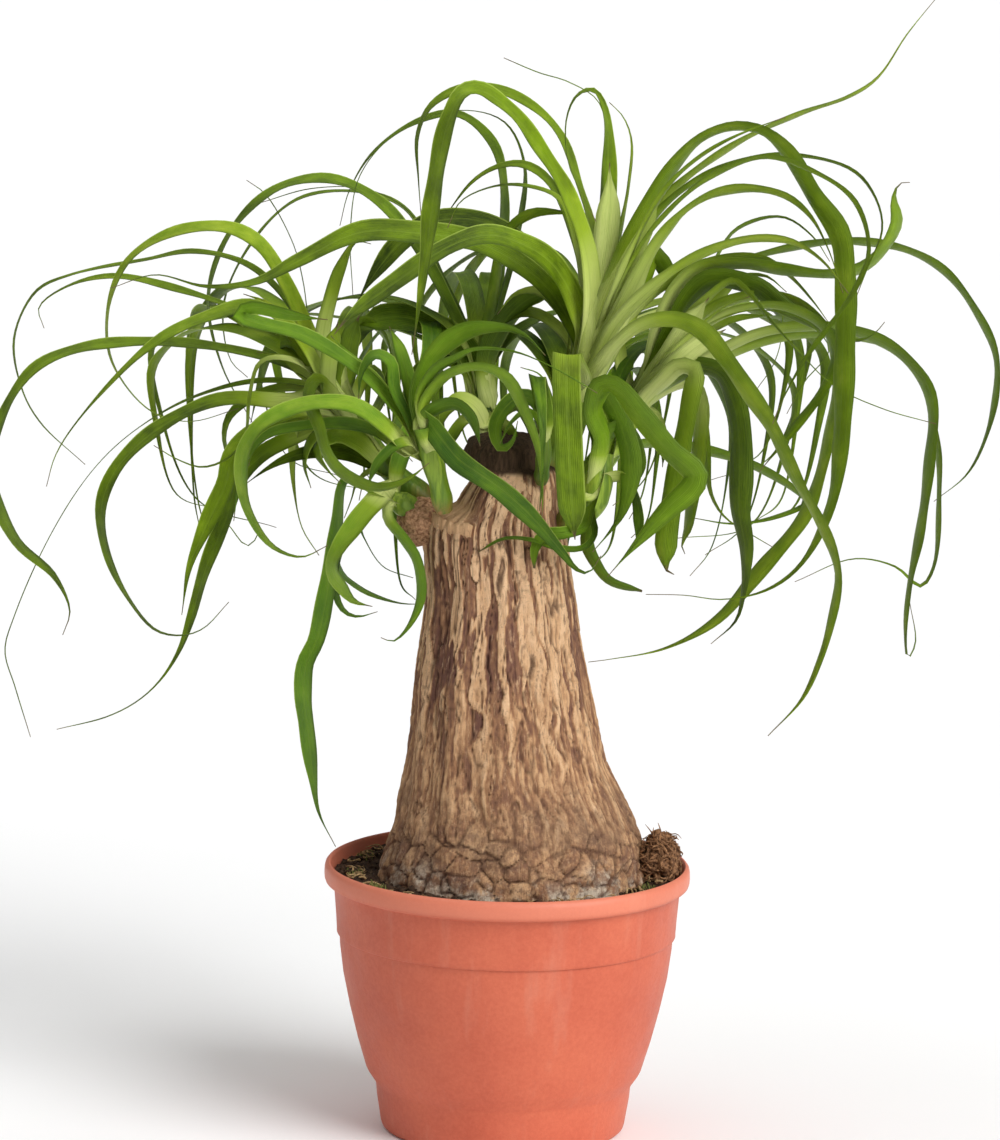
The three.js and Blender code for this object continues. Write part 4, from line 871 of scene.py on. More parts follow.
class Mixture:
    """A material's nodes, added one call at a time."""

    def __init__(self, name: str) -> None:
        """Starts a material under a name."""
        self.material = bpy.data.materials.new(name)
        self.material.use_nodes = True
        self.nodes = self.material.node_tree.nodes
        self.links = self.material.node_tree.links
        self.shader = self.nodes["Principled BSDF"]

    def _feed(self, socket: Socket, value: object) -> None:
        """Sets a socket to a number or colour, or links it to another socket."""
        if isinstance(value, Socket):
            self.links.new(value, socket)
        else:
            socket.default_value = value

    def node(self, kind: str, **settings: object) -> bpy.types.Node:
        """Adds a node of a kind with its settings."""
        made = self.nodes.new(kind)
        for name, value in settings.items():
            setattr(made, name, value)
        return made

    def value(self, name: str) -> Socket:
        """Reads a number that the mesh holds for each point."""
        return self.node("ShaderNodeAttribute", attribute_name=name).outputs["Fac"]

    def place(self, scale: Numbers = (1.0, 1.0, 1.0)) -> Socket:
        """Reads the place on the object, in metres, stretched by a scale."""
        source = self.node("ShaderNodeTexCoord").outputs["Object"]
        stretched = self.node("ShaderNodeMapping")
        stretched.inputs["Scale"].default_value = scale
        self.links.new(source, stretched.inputs["Vector"])
        return stretched.outputs["Vector"]

    def joined(self, *parts: object) -> Socket:
        """Joins three numbers into one place."""
        made = self.node("ShaderNodeCombineXYZ")
        for socket, part in zip(made.inputs, parts):
            self._feed(socket, part)
        return made.outputs[0]

    def grain(self, place: Socket, scale: float, detail: float = 4.0, rough: float = 0.55) -> Socket:
        """Adds noise.

        Args:
            place: Where it is read.
            scale: Grains in a metre.
            detail: How many finer layers it has.
            rough: How strong those are.

        Returns:
            The noise, round 0.5.
        """
        made = self.node("ShaderNodeTexNoise")
        self.links.new(place, made.inputs["Vector"])
        made.inputs["Scale"].default_value = scale
        made.inputs["Detail"].default_value = detail
        made.inputs["Roughness"].default_value = rough
        return made.outputs["Fac"]

    def ramp(self, share: object, *stops: tuple[float, object]) -> Socket:
        """Turns a number into a colour, or a grey from a number in each stop.

        Args:
            share: The number read.
            stops: Place and colour code, or place and grey.

        Returns:
            The colour.
        """
        made = self.node("ShaderNodeValToRGB")
        marks = made.color_ramp.elements
        while len(marks) < len(stops):
            marks.new(0.5)
        for mark, (place, look) in zip(marks, stops):
            mark.position = place
            mark.color = paint(look) if isinstance(look, str) else (look, look, look, 1.0)
        self._feed(made.inputs["Fac"], share)
        return made.outputs["Color"]

    def blend(self, share: object, one: object, two: object) -> Socket:
        """Mixes two colours, each a colour code or a socket, with a share of the second."""
        made = self.node("ShaderNodeMix", data_type="RGBA")
        self._feed(made.inputs[0], share)
        self._feed(made.inputs[6], paint(one) if isinstance(one, str) else one)
        self._feed(made.inputs[7], paint(two) if isinstance(two, str) else two)
        return made.outputs[2]

    def sum(self, way: str, one: object, two: object = 0.0) -> Socket:
        """Does one sum, such as SUBTRACT, on one or two numbers."""
        made = self.node("ShaderNodeMath", operation=way)
        self._feed(made.inputs[0], one)
        if len(made.inputs) > 1:
            self._feed(made.inputs[1], two)
        return made.outputs[0]

    def times(self, one: object, two: object) -> Socket:
        """Multiplies two numbers."""
        return self.sum("MULTIPLY", one, two)

    def relief(self, height: object, distance: float, under: object = None) -> Socket:
        """Adds bumps of a height in metres, over other bumps if given."""
        made = self.node("ShaderNodeBump")
        made.inputs["Strength"].default_value = 1.0
        made.inputs["Distance"].default_value = distance
        self._feed(made.inputs["Height"], height)
        if under is not None:
            self._feed(made.inputs["Normal"], under)
        return made.outputs["Normal"]

    def finish(self, colour: object, rough: object, bumps: object, gloss: float) -> Finish:
        """Joins the look to the shader.

        Args:
            colour: The base colour.
            rough: The roughness.
            bumps: The bumped normal, or None.
            gloss: The specular level.

        Returns:
            The material.
        """
        self._feed(self.shader.inputs["Base Color"], colour)
        self._feed(self.shader.inputs["Roughness"], rough)
        self.shader.inputs["Specular IOR Level"].default_value = gloss
        if bumps is not None:
            self._feed(self.shader.inputs["Normal"], bumps)
        return self.material


@dataclass(frozen=True)
class PotPlastic:
    """Moulded terracotta-coloured plastic with a faint grain, a little dust and a painted highlight that
    lightens the top of the rim.
    """

    lit: str = "#D26E4F"
    body: str = "#C86246"
    deep: str = "#BA543A"
    # Painted highlight on the top of the rim, mixed in over the heights of rim_span.
    rim: str = "#E48C70"
    dust: str = "#D0907A"
    rim_span: tuple[float, float] = (0.143, 0.1475)

    def make(self) -> Finish:
        """Returns the material."""
        mix = Mixture("pot_plastic")
        spot = mix.place()
        clouds = mix.grain(spot, 16.0, 5.0)
        speckle = mix.grain(spot, 420.0, 3.0, 0.7)
        colour = mix.ramp(clouds, (0.3, self.deep), (0.5, self.body), (0.72, self.lit))
        colour = mix.blend(0.3, colour, mix.ramp(speckle, (0.35, self.deep), (0.65, self.lit)))
        streaks = mix.grain(mix.place((60.0, 60.0, 7.0)), 1.0, 6.0, 0.6)
        marks = mix.ramp(streaks, (0.56, 0.0), (0.78, 0.35))
        colour = mix.blend(marks, colour, self.dust)
        # Painted highlight: the rim's top is mixed towards the lighter rim colour by height.
        height = mix.node("ShaderNodeSeparateXYZ")
        mix.links.new(spot, height.inputs[0])
        low, high = (place * 6.0 for place in self.rim_span)
        painted_rim_light = mix.ramp(mix.times(height.outputs["Z"], 6.0), (low, 0.0), (high, 0.55))
        colour = mix.blend(painted_rim_light, colour, self.rim)
        rough = mix.ramp(mix.grain(spot, 60.0, 5.0), (0.3, 0.42), (0.7, 0.56))
        bumps = mix.relief(mix.grain(spot, 900.0, 3.0, 0.6), 0.00012)
        bumps = mix.relief(mix.grain(spot, 38.0, 3.0), 0.0006, bumps)
        return mix.finish(colour, rough, bumps, 0.4)


@dataclass(frozen=True)
class LeafSkin:
    """Living leaf: pale at its root, green beyond it, veined, with a dry thread at its tip. Its tone holds
    painted shade, its margins a painted highlight and painted shade, and its underside a painted glow.
    """

    root: str = "#EAF29A"
    young: str = "#B4CC3C"
    light: str = "#AABF34"
    green: str = "#749206"
    dark: str = "#2C4000"
    cool: str = "#5A9A30"
    dry: str = "#7A6A45"
    # Pale margin with a painted highlight, put on one edge only.
    pale_margin_and_highlight: str = "#A6BC50"
    streak: str = "#96AE2E"
    root_line: str = "#A8C440"
    midrib: str = "#8CA63A"
    underside_and_glow: str = "#6E8A1E"

    def make(self) -> Finish:
        """Returns the material."""
        mix = Mixture("leaf_skin")
        pale = mix.value("pale")
        across = mix.value("across")
        tone = mix.value("tone")
        reach = mix.value("reach")
        streak_place = mix.joined(mix.times(across, 5.0), mix.times(reach, 0.9), mix.times(tone, 37.0))
        streaks = mix.grain(streak_place, 2.2, 4.0, 0.65)
        cloud_place = mix.joined(mix.times(across, 0.6), mix.times(reach, 1.7), mix.times(tone, 53.0))
        clouds = mix.grain(cloud_place, 1.0, 4.0, 0.55)
        veins = mix.ramp(mix.sum("SINE", mix.times(across, 34.0)), (0.0, 0.0), (1.0, 1.0))
        # The leaf's tone, which holds painted shade for leaves in shadow, and random clouds set how dark
        # its green is.
        depth = mix.sum("ADD", mix.times(tone, 0.75), mix.times(clouds, 0.95))
        depth = mix.sum("SUBTRACT", depth, 0.3)
        colour = mix.ramp(depth, (0.12, self.dark), (0.6, self.green), (0.95, self.light))
        colour = mix.blend(mix.ramp(streaks, (0.42, 0.0), (0.75, 0.28)), colour, self.streak)
        colour = mix.blend(mix.times(mix.value("cool"), 0.6), colour, self.cool)
        colour = mix.blend(mix.times(veins, 0.1), colour, self.dark)
        colour = mix.blend(mix.ramp(pale, (0.0, 0.0), (0.7, 1.0)), colour, self.young)
        colour = mix.blend(mix.ramp(pale, (0.35, 0.0), (0.9, 1.0)), colour, self.root)
        lines = mix.times(mix.ramp(streaks, (0.45, 0.0), (0.68, 0.35)), pale)
        colour = mix.blend(lines, colour, self.root_line)
        # Painted light on the margins: one edge is lighter, its pale margin with a painted highlight, and
        # the other is darker as painted shade.
        broad = mix.sum("SUBTRACT", 1.0, mix.value("slim"))
        lit_edge = mix.times(mix.ramp(across, (0.86, 0.0), (0.99, 0.8)), broad)
        colour = mix.blend(lit_edge, colour, self.pale_margin_and_highlight)
        painted_shade_edge = mix.ramp(mix.times(across, -1.0), (0.55, 0.0), (0.98, 0.6))
        colour = mix.blend(mix.times(painted_shade_edge, broad), colour, self.dark)
        rib = mix.ramp(mix.sum("ABSOLUTE", across), (0.02, 0.45), (0.12, 0.0))
        colour = mix.blend(mix.times(rib, 0.5), colour, self.midrib)
        # The underside is partly its own greyer green and partly a painted glow of light shining through
        # the leaf.
        colour = mix.blend(mix.times(mix.value("under"), 0.3), colour, self.underside_and_glow)
        withered = mix.sum("ADD", mix.value("dry"), mix.times(streaks, 0.12))
        colour = mix.blend(mix.ramp(withered, (0.5, 0.0), (0.8, 1.0)), colour, self.dry)
        rough = mix.ramp(streaks, (0.3, 0.4), (0.7, 0.56))
        bumps = mix.relief(mix.sum("SINE", mix.times(across, 46.0)), 0.00006)
        bumps = mix.relief(streaks, 0.0004, bumps)
        return mix.finish(colour, rough, bumps, 0.2)


@dataclass(frozen=True)
class StemSkin:
    """The green sheath of a head, with strong fibres, a brownish foot and painted shade on the stems of the
    low heads and the heads behind.
    """

    foot: str = "#9C7046"
    low: str = "#7E9A26"
    high: str = "#A5BC40"
    line: str = "#4F7014"
    dark: str = "#3E5A14"

    def make(self) -> Finish:
        """Returns the material."""
        mix = Mixture("stem_sheath")
        height = mix.value("reach")
        colour = mix.ramp(height, (0.04, self.foot), (0.2, self.low), (0.9, self.high))
        fibres = mix.grain(mix.place((420.0, 420.0, 14.0)), 1.0, 4.0)
        broad = mix.grain(mix.place((110.0, 110.0, 12.0)), 1.0, 3.0)
        colour = mix.blend(mix.ramp(fibres, (0.45, 0.0), (0.62, 0.7)), colour, self.line)
        colour = mix.blend(mix.ramp(broad, (0.42, 0.6), (0.55, 0.0)), colour, self.line)
        # Painted shade: a stem with a low tone is mixed towards dark.
        colour = mix.blend(mix.ramp(mix.value("tone"), (0.1, 0.85), (0.7, 0.0)), colour, self.dark)
        bumps = mix.relief(fibres, 0.0008)
        return mix.finish(colour, 0.45, bumps, 0.4)


@dataclass(frozen=True)
class BarkSkin:
    """Corky bark: tan plates over plum-brown strips, fissures, chalky blocks and torn edges."""

    light: str = "#EAC298"
    tan: str = "#D2A57A"
    middle: str = "#A67A58"
    brown: str = "#745043"
    fissure: str = "#452B22"
    chalk: str = "#D3C2AC"
    torn: str = "#DDB78B"
    cut: str = "#382A1D"
    cut_light: str = "#604A36"
    murk: str = "#6E5646"
    fleck_dark: str = "#8A6A54"
    fleck_light: str = "#CBA47C"
    chalk_shade: str = "#937A68"
    speck: str = "#54392B"

    def make(self) -> Finish:
        """Returns the material."""
        mix = Mixture("corky_bark")
        spot = mix.place()
        strands = mix.grain(mix.place((620.0, 620.0, 80.0)), 1.0, 5.0, 0.65)
        bands = mix.grain(mix.place((150.0, 150.0, 22.0)), 1.0, 4.0, 0.6)
        specks = mix.grain(spot, 900.0, 4.0, 0.75)
        flecks = mix.grain(spot, 330.0, 4.0, 0.65)
        clouds = mix.grain(spot, 34.0, 5.0, 0.6)
        low = mix.value("low")
        tone = mix.sum("ADD", mix.times(mix.value("plate"), 0.85), mix.times(bands, 0.45))
        tone = mix.sum("SUBTRACT", tone, 0.1)
        colour = mix.ramp(
            tone, (0.2, self.brown), (0.46, self.middle), (0.66, self.tan), (0.95, self.light))
        colour = mix.blend(mix.ramp(strands, (0.54, 0.0), (0.68, 0.6)), colour, self.brown)
        colour = mix.blend(mix.ramp(strands, (0.32, 0.5), (0.45, 0.0)), colour, self.light)
        murky = mix.times(low, mix.ramp(clouds, (0.46, 0.0), (0.62, 0.7)))
        colour = mix.blend(murky, colour, self.murk)
        dull = mix.times(low, mix.ramp(flecks, (0.4, 0.6), (0.52, 0.0)))
        colour = mix.blend(dull, colour, self.fleck_dark)
        bright = mix.times(low, mix.ramp(flecks, (0.52, 0.0), (0.66, 0.55)))
        colour = mix.blend(bright, colour, self.fleck_light)
        chalk = mix.ramp(mix.grain(spot, 58.0, 5.0, 0.65), (0.47, 0.0), (0.57, 1.0))
        chalk = mix.times(chalk, mix.value("chalk"))
        chalky = mix.ramp(flecks, (0.38, self.chalk_shade), (0.58, self.chalk))
        colour = mix.blend(chalk, colour, chalky)
        colour = mix.blend(mix.ramp(specks, (0.57, 0.0), (0.7, 0.6)), colour, self.speck)
        pale = mix.ramp(strands, (0.35, self.torn), (0.65, self.tan))
        colour = mix.blend(mix.value("torn"), colour, pale)
        crack = mix.times(mix.value("fissure"), mix.ramp(specks, (0.3, 0.95), (0.8, 0.6)))
        colour = mix.blend(crack, colour, self.fissure)
        dark = mix.ramp(strands, (0.35, self.cut), (0.7, self.cut_light))
        colour = mix.blend(mix.value("cut"), colour, dark)
        bumps = mix.relief(strands, 0.0016)
        bumps = mix.relief(specks, 0.0008, bumps)
        return mix.finish(colour, 0.88, bumps, 0.2)


@dataclass(frozen=True)
class SoilEarth:
    """Dark crumbly potting soil."""

    dark: str = "#2E2018"
    brown: str = "#4E3A2B"
    dry: str = "#7B6450"

    def make(self) -> Finish:
        """Returns the material."""
        mix = Mixture("potting_soil")
        spot = mix.place()
        crumbs = mix.grain(spot, 260.0, 6.0, 0.7)
        patches = mix.grain(spot, 45.0, 4.0)
        colour = mix.ramp(crumbs, (0.35, self.dark), (0.55, self.brown), (0.72, self.dry))
        colour = mix.blend(mix.ramp(patches, (0.45, 0.0), (0.7, 0.5)), colour, self.dark)
        bumps = mix.relief(crumbs, 0.003)
        return mix.finish(colour, 0.95, bumps, 0.2)


@dataclass(frozen=True)
class Litter:
    """A plain natural finish with a darker and a lighter tone."""

    name: str
    dark: str
    light: str
    rough: float = 0.8

    def make(self) -> Finish:
        """Returns the material."""
        mix = Mixture(self.name)
        grain = mix.grain(mix.place(), 520.0, 4.0, 0.6)
        colour = mix.ramp(grain, (0.35, self.dark), (0.65, self.light))
        return mix.finish(colour, self.rough, mix.relief(grain, 0.0004), 0.3)


@dataclass(frozen=True)
class FloorPaper:
    """Plain white studio paper."""

    light: str = "#FCFCFC"
    shade: str = "#FAFAFA"

    def make(self) -> Finish:
        """Returns the material."""
        mix = Mixture("studio_paper")
        grain = mix.grain(mix.place(), 3.0, 2.0)
        colour = mix.ramp(grain, (0.3, self.shade), (0.7, self.light))
        return mix.finish(colour, 0.9, None, 0.1)


# The flower pot


@dataclass
class FlowerPot:
    """The pot: rolled rim, a shallow step under the band, a belly and a narrower foot."""

    steps: int = 144
    floor: float = 3.0
    drain_holes: int = 6
    drain_ring: float = 46.0
    drain_radius: float = 5.0
    drain_sides: int = 28
    outside: Points = (
        (0, 0.6), (60, 0.6), (62, 0), (66.6, 0), (68.6, 0.5), (69.9, 1.8), (70.6, 4), (73, 19),
        (73.6, 25.4), (74.3, 27.6), (78.4, 33.6), (79.6, 35.9), (84.7, 53), (89.5, 72), (93.5, 91),
        (95.7, 108), (95.9, 113.9), (96.0, 114.5), (97.2, 114.7), (97.6, 115.2), (97.6, 117),
        (98.2, 126), (99.6, 142.2), (100.0, 143.6), (101.0, 144.3), (103.4, 144.5), (104.5, 145.2),
        (105.0, 146.6), (105.2, 149), (105.1, 152.4), (104.7, 154.2), (103.7, 155.5), (102.6, 156),
    )
    inside: Points = (
        (101.9, 155.4), (101.4, 154), (100.6, 147), (96.8, 141), (94.6, 116), (91.3, 91),
        (86.7, 72), (76.7, 35), (70.9, 26), (65.4, 4.2), (64, 3), (0, 3),
    )

    def build(self) -> Piece:
        """Returns the pot with its drain holes cut."""
        pot = spun("flower_pot", [*self.outside, *self.inside], self.steps)
        drills = []
        for hole in range(self.drain_holes):
            angle = hole / self.drain_holes * math.tau
            pick_none()
            bpy.ops.mesh.primitive_cylinder_add(
                vertices=self.drain_sides,
                radius=self.drain_radius * MM,
                depth=self.floor * 4 * MM,
                location=Vector((math.cos(angle), math.sin(angle), 0)) * self.drain_ring * MM,
            )
            drills.append(bpy.context.object)
        drill = join("drain_drill", drills)
        cut = pot.modifiers.new("drain", "BOOLEAN")
        cut.operation = "DIFFERENCE"
        cut.solver = "EXACT"
        cut.object = drill
        apply_all(pot)
        bpy.data.objects.remove(drill)
        pot.data.materials.clear()
        pot.data.materials.append(PotPlastic().make())
        smooth_shade(pot, 50)
        return settle(pot, Slot.POT, "pot")


# The trunk


@dataclass(frozen=True)
class BarkSpot:
    """One place on the bark: where its pattern is read, its height and the waves there."""

    x: float
    y: float
    row: float
    height: float
    sway: float
    wrinkle: float

    def wave(self, size: float, rows: float, right: float = 0.0, back: float = 0.0) -> float:
        """Returns noise in lumps of a size that stretch along the rows, read a little aside."""
        return ripple(self.x / size + right, self.y / size + back, self.row * rows)


@dataclass
class Trunk:
    """The swollen trunk, its cut top, the side knob and the main roots.

    Rings are heights, radii and leans. A span is two heights between which something fades.
    """

    rings: Points = (
        (64, 18, 2), (74, 46, 2), (102, 71, 3), (134, 78.5, 3), (151, 77, 3), (175, 70.5, 4.8),
        (200, 62, 0.8), (215, 57, -1.8), (240, 52.2, -3.8), (262, 49, -5.6), (281, 45.6, -6.6),
        (311, 41.6, -7), (327, 40.4, -8.6), (342, 40, -10), (354, 38.5, -10.5), (366, 34.5, -9),
        (376, 31, -6.5), (384, 27, -4.5),
    )
    top_rings: Points = (
        (350, 30, -5), (372, 29.5, -3.5), (387, 27, -3.5), (389, 25.4, -3.5), (396, 24.4, -4),
        (402, 21.5, -4.5), (405, 14, -5),
    )
    knob_centre: Numbers = (-52, 0, 354)
    knob_radii: Numbers = (14.5, 14, 14)
    root_count: int = 5
    root_radii: Numbers = (9, 6, 2)
    root_route: Points = ((34, 90), (56, 58), (58, 18))
    root_rows: int = 24
    root_sides: int = 14
    tear_turns: Numbers = (2.6, 4.35)
    tear_rows: int = 80
    tear_span: Numbers = (350, 358)
    ledge: float = 11.5
    ledge_span: Numbers = (358, 366)
    bark_depth: float = 1.5
    bark_ribs: int = 12
    blocks_end: Numbers = (160, 190)
    ribs_end: Numbers = (335, 358)
    foot_span: Numbers = (172, 204)
    foot_tint_span: Numbers = (170, 222)
    chalk_span: Numbers = (152, 170)
    bold_span: Numbers = (225, 290)
    # Heights over which the bark is made paler as painted light, to lift the shade that the leaves cast.
    painted_light_span: Numbers = (285, 350)
    buried_rows: Numbers = (64, 74, 88, 102, 118, 130)
    rows_from: float = 136.0
    row_step: float = 1.0
    around: int = 360
    top_row_step: float = 0.9
    top_around: int = 150
    top_rounds: Numbers = (0.72, 0.45, 0.2, 0.05)
    girth: float = 50.0
    stray: float = 3.4
    stray_shifts: Points = ((26.6, 3.6, -4.3), (17.3, 5.1, 3.7), (23.6, 5.3, 1.0))
    plate_rows: Points = (
        (60, 150, 180, 210, 260, 320, 410),
        (0, 6.9, 9.2, 10.7, 12.3, 13.5, 15.0),
    )

    def swell(self, angle: float, height: float) -> float:
        """Returns the solid's own ribs, blocks and lumps at an angle and a height."""
        ribs = math.cos(self.bark_ribs * angle + 0.9 * math.sin(height / 38 + 2 * angle))
        blocks = math.cos(self.bark_ribs * angle) * math.cos((height - 134) / 5.7)
        plates = blocks + (ribs - blocks) * ease(*self.blocks_end, height)
        lumps = math.sin(3 * angle + 0.03 * height) * 0.3
        return self.bark_depth * (plates * 0.75 * (1 - ease(*self.ribs_end, height)) + lumps)

    def blocks(self, spot: BarkSpot) -> tuple[float, float, float]:
        """Works out the cracked blocks of the foot at one place.

        Args:
            spot: The place.

        Returns:
            How far it stands out, how deep in a joint it is and how pale it is.
        """
        near, centres = noise.voronoi(Vector((spot.x / 8.0, spot.y / 8.0, spot.row * 1.15)))
        gap = near[1] - near[0]
        joint = 1.0 - ease(0.015, 0.1, gap)
        chips = ripple(spot.x / 3.4, spot.y / 3.4, spot.height / 5 + 2)
        out = 0.45 * ease(0.0, 0.25, gap) - 1.1 * joint + 0.35 * spot.wrinkle + 0.5 * chips
        tone = 0.44 + 0.2 * noise.cell(centres[0] * 7.3) + 0.2 * spot.wrinkle + 0.2 * chips
        return out, 0.82 * joint, tone

    def strips(self, spot: BarkSpot) -> tuple[float, float, float]:
        """Works out the long strips above the foot: shreds at first, bold plates higher up.

        Args:
            spot: The place.

        Returns:
            How far it stands out, how deep in a fissure it is and how pale it is.
        """
        high = ease(*self.bold_span, spot.height + 40 * spot.sway)
        main = spot.wave(6.2, 0.5) + 0.25 * spot.wave(2.6, 1.3)
        split = 1.0 - ease(0.0, 0.07, abs(main))
        thin = (1.0 - ease(0.0, 0.09, abs(spot.wave(3.3, 0.95, 9)))) * ease(-0.3, 0.2, spot.sway + main)
        flake = spot.wave(5.2, 0.5, 0, 5) + 0.22 * spot.wave(2.0, 1.9)
        raised = ease(-0.04, 0.07, flake)
        rim = 1.0 - ease(0.0, 0.08, abs(flake - 0.09))
        shred = ease(-0.25, 0.3, spot.wave(2.7, 0.85, 3) + 0.5 * spot.wave(1.4, 2.0))
        across = ease(0.5, 0.66, ripple(spot.x / 13, spot.y / 13, spot.height / 2.9)) * 0.45
        plates = 0.8 * raised + 0.2 * rim - 1.25 * split - 0.45 * thin
        shreds = 0.6 * shred + 0.2 * raised - 0.9 * split - 0.45 * thin
        out = high * plates + (1 - high) * shreds - 0.5 * across + 0.25 * spot.wrinkle + 0.2
        bold = 0.08 + 0.62 * raised + 0.24 * rim + 0.12 * shred
        soft = 0.27 + 0.36 * shred + 0.16 * raised + 0.08 * rim
        tone = high * bold + (1 - high) * soft + 0.16 * spot.wrinkle
        # Painted light: the plates are made paler towards the top, where the leaves cast shade.
        tone += 0.14 * ease(*self.painted_light_span, spot.height)
        return out, max(split, 0.6 * thin, across) * (0.75 + 0.25 * high), tone

    def relief(self, angle: float, height: float) -> dict[str, float]:
        """Works out the bark at one place, with blocks at the foot and strips above.

        Args:
            angle: Angle round the trunk.
            height: Height up it.

        Returns:
            How far it stands out, how deep in a fissure it is, how pale its plate is, and how much
            it has the foot's darker tint and its chalk.
        """
        x, y = math.cos(angle) * self.girth, math.sin(angle) * self.girth
        sway = ripple(x / 22, y / 22, height / 25)
        place = Vector((x / 11, y / 11, height / 19 + 4))
        stray = self.stray * Vector([noise.noise(place + Vector(shift)) for shift in self.stray_shifts])
        x, y = x + stray.x, y + stray.y
        row = float(np.interp(height, *self.plate_rows)) + stray.z * 0.08
        spot = BarkSpot(x, y, row, height, sway, ripple(x / 2.2, y / 2.2, height / 3.4))
        low = 1.0 - ease(*self.foot_span, height + 16 * sway)
        pairs = zip(self.blocks(spot), self.strips(spot))
        out, fissure, plate = (low * foot + (1 - low) * above for foot, above in pairs)
        return {
            "out": out,
            "fissure": min(1.0, fissure),
            "plate": plate,
            "low": 1.0 - ease(*self.foot_tint_span, height + 26 * sway),
            "chalk": 1.0 - ease(*self.chalk_span, height + 12 * sway),
        }

    def outline(self, rings: Points) -> Callable[[float], list[float]]:
        """Returns a reader that gives the radius and lean of smoothed rings at a height."""
        fine = through(list(np.array(rings, float)), steps=16)
        return lambda height: [float(np.interp(height, fine[:, 0], fine[:, side])) for side in (1, 2)]

    def skin_round(
        self,
        name: str,
        rings: Points,
        heights: Numbers,
        around: int,
        material: Finish,
        dress: Callable[[float, float, dict[str, float]], float],
        cap: Sequence[np.ndarray] = (),
    ) -> Piece:
        """Makes a round piece of trunk with bark in relief.

        Args:
            name: The piece's name.
            rings: Height, radius and lean of the solid's rings.
            heights: The height of each row of points.
            around: Points in a row.
            material: Its finish.
            dress: Takes an angle, a height and the bark there, changes its values where the piece
                differs and returns how far the point stands out.
            cap: Rows of points that close the top with cut wood.

        Returns:
            The piece.
        """
        labels = ("fissure", "plate", "low", "chalk", "torn", "cut")
        read = self.outline(rings)
        points, marks = [], []
        for height in heights:
            base, lean = read(height)
            for angle in np.arange(around) / around * math.tau:
                bark = {**self.relief(angle, height), "torn": 0.0, "cut": 0.0}
                reach = base + self.swell(angle, height) + dress(angle, height, bark)
                points.append((lean + reach * math.cos(angle), reach * math.sin(angle), height))
                marks.append(bark)
        for row in cap:
            points.extend(row)
            marks.extend([{**dict.fromkeys(labels, 0.0), "cut": 1.0}] * len(row))
        values = {label: np.array([mark[label] for mark in marks]) for label in labels}
        skin = Skin()
        skin.add(np.array(points), tube_faces(len(heights) + len(cap), around), **values)
        return skin.build(name, [material])

    def leftward(self, angle: float) -> float:
        """Returns how far an angle faces left, from 0 to 1."""
        return ease(0.25, 0.8, -math.cos(angle))

    def bark(self, material: Finish) -> Piece:
        """Returns the body of the trunk with its bark in relief."""
        last = self.rings[-1][0]
        heights = [*self.buried_rows, *np.arange(self.rows_from, last + 0.01, self.row_step)]

        def dress(angle: float, height: float, bark: dict[str, float]) -> float:
            """Smooths the buried foot and cuts the ledge with its torn rim."""
            shown = ease(120, 140, height) * (1.0 - 0.5 * ease(376, 383, height))
            ragged = 4.5 * ripple(math.cos(angle) * 4, math.sin(angle) * 4, 1)
            left = self.leftward(angle)
            bark["torn"] = left * ease(355, 359, height + ragged) * (1 - ease(364, 370, height))
            bark["fissure"] *= shown * (1 - 0.7 * bark["torn"])
            return shown * (bark["out"] - 0.4) - self.ledge * left * ease(*self.ledge_span, height)

        return self.skin_round("trunk_bark", self.rings, heights, self.around, material, dress)

    def cut_top(self, material: Finish) -> Piece:
        """Returns the stub that stands out of the trunk, with its dark shrunken top."""
        first, (top, radius, lean) = self.top_rings[0][0], self.top_rings[-1]
        heights = [*np.arange(first, top - 0.8, self.top_row_step), top]

        def dress(angle: float, height: float, bark: dict[str, float]) -> float:
            """Turns bark into wrinkled wood past a ragged line, and narrows the left side."""
            ragged = 3.0 * ripple(math.cos(angle) * 3, math.sin(angle) * 3, 5)
            wood = ease(385, 388, height + ragged)
            wrinkle = ripple(math.cos(angle) * 7, math.sin(angle) * 7, height / 9)
            bark.update(cut=wood, low=0.0)
            narrower = self.ledge * self.leftward(angle) * (1 - ease(384, 392, height))
            return 0.8 * (bark["out"] - 0.4) * (1 - wood) + wood * (wrinkle * 1.8 - 0.4) - narrower

        cap = []
        for share in self.top_rounds:
            turns = np.arange(self.top_around) / self.top_around * math.tau
            row = []
            for x, y in zip(share * np.cos(turns), share * np.sin(turns)):
                dip = 2.5 * (1 - share) + 1.4 * ripple(x * 4, y * 4, 9)
                row.append((lean + radius * x, radius * y, top - abs(dip)))
            cap.append(np.array(row))
        return self.skin_round(
            "trunk_cut_top", self.top_rings, heights, self.top_around, material, dress, cap)

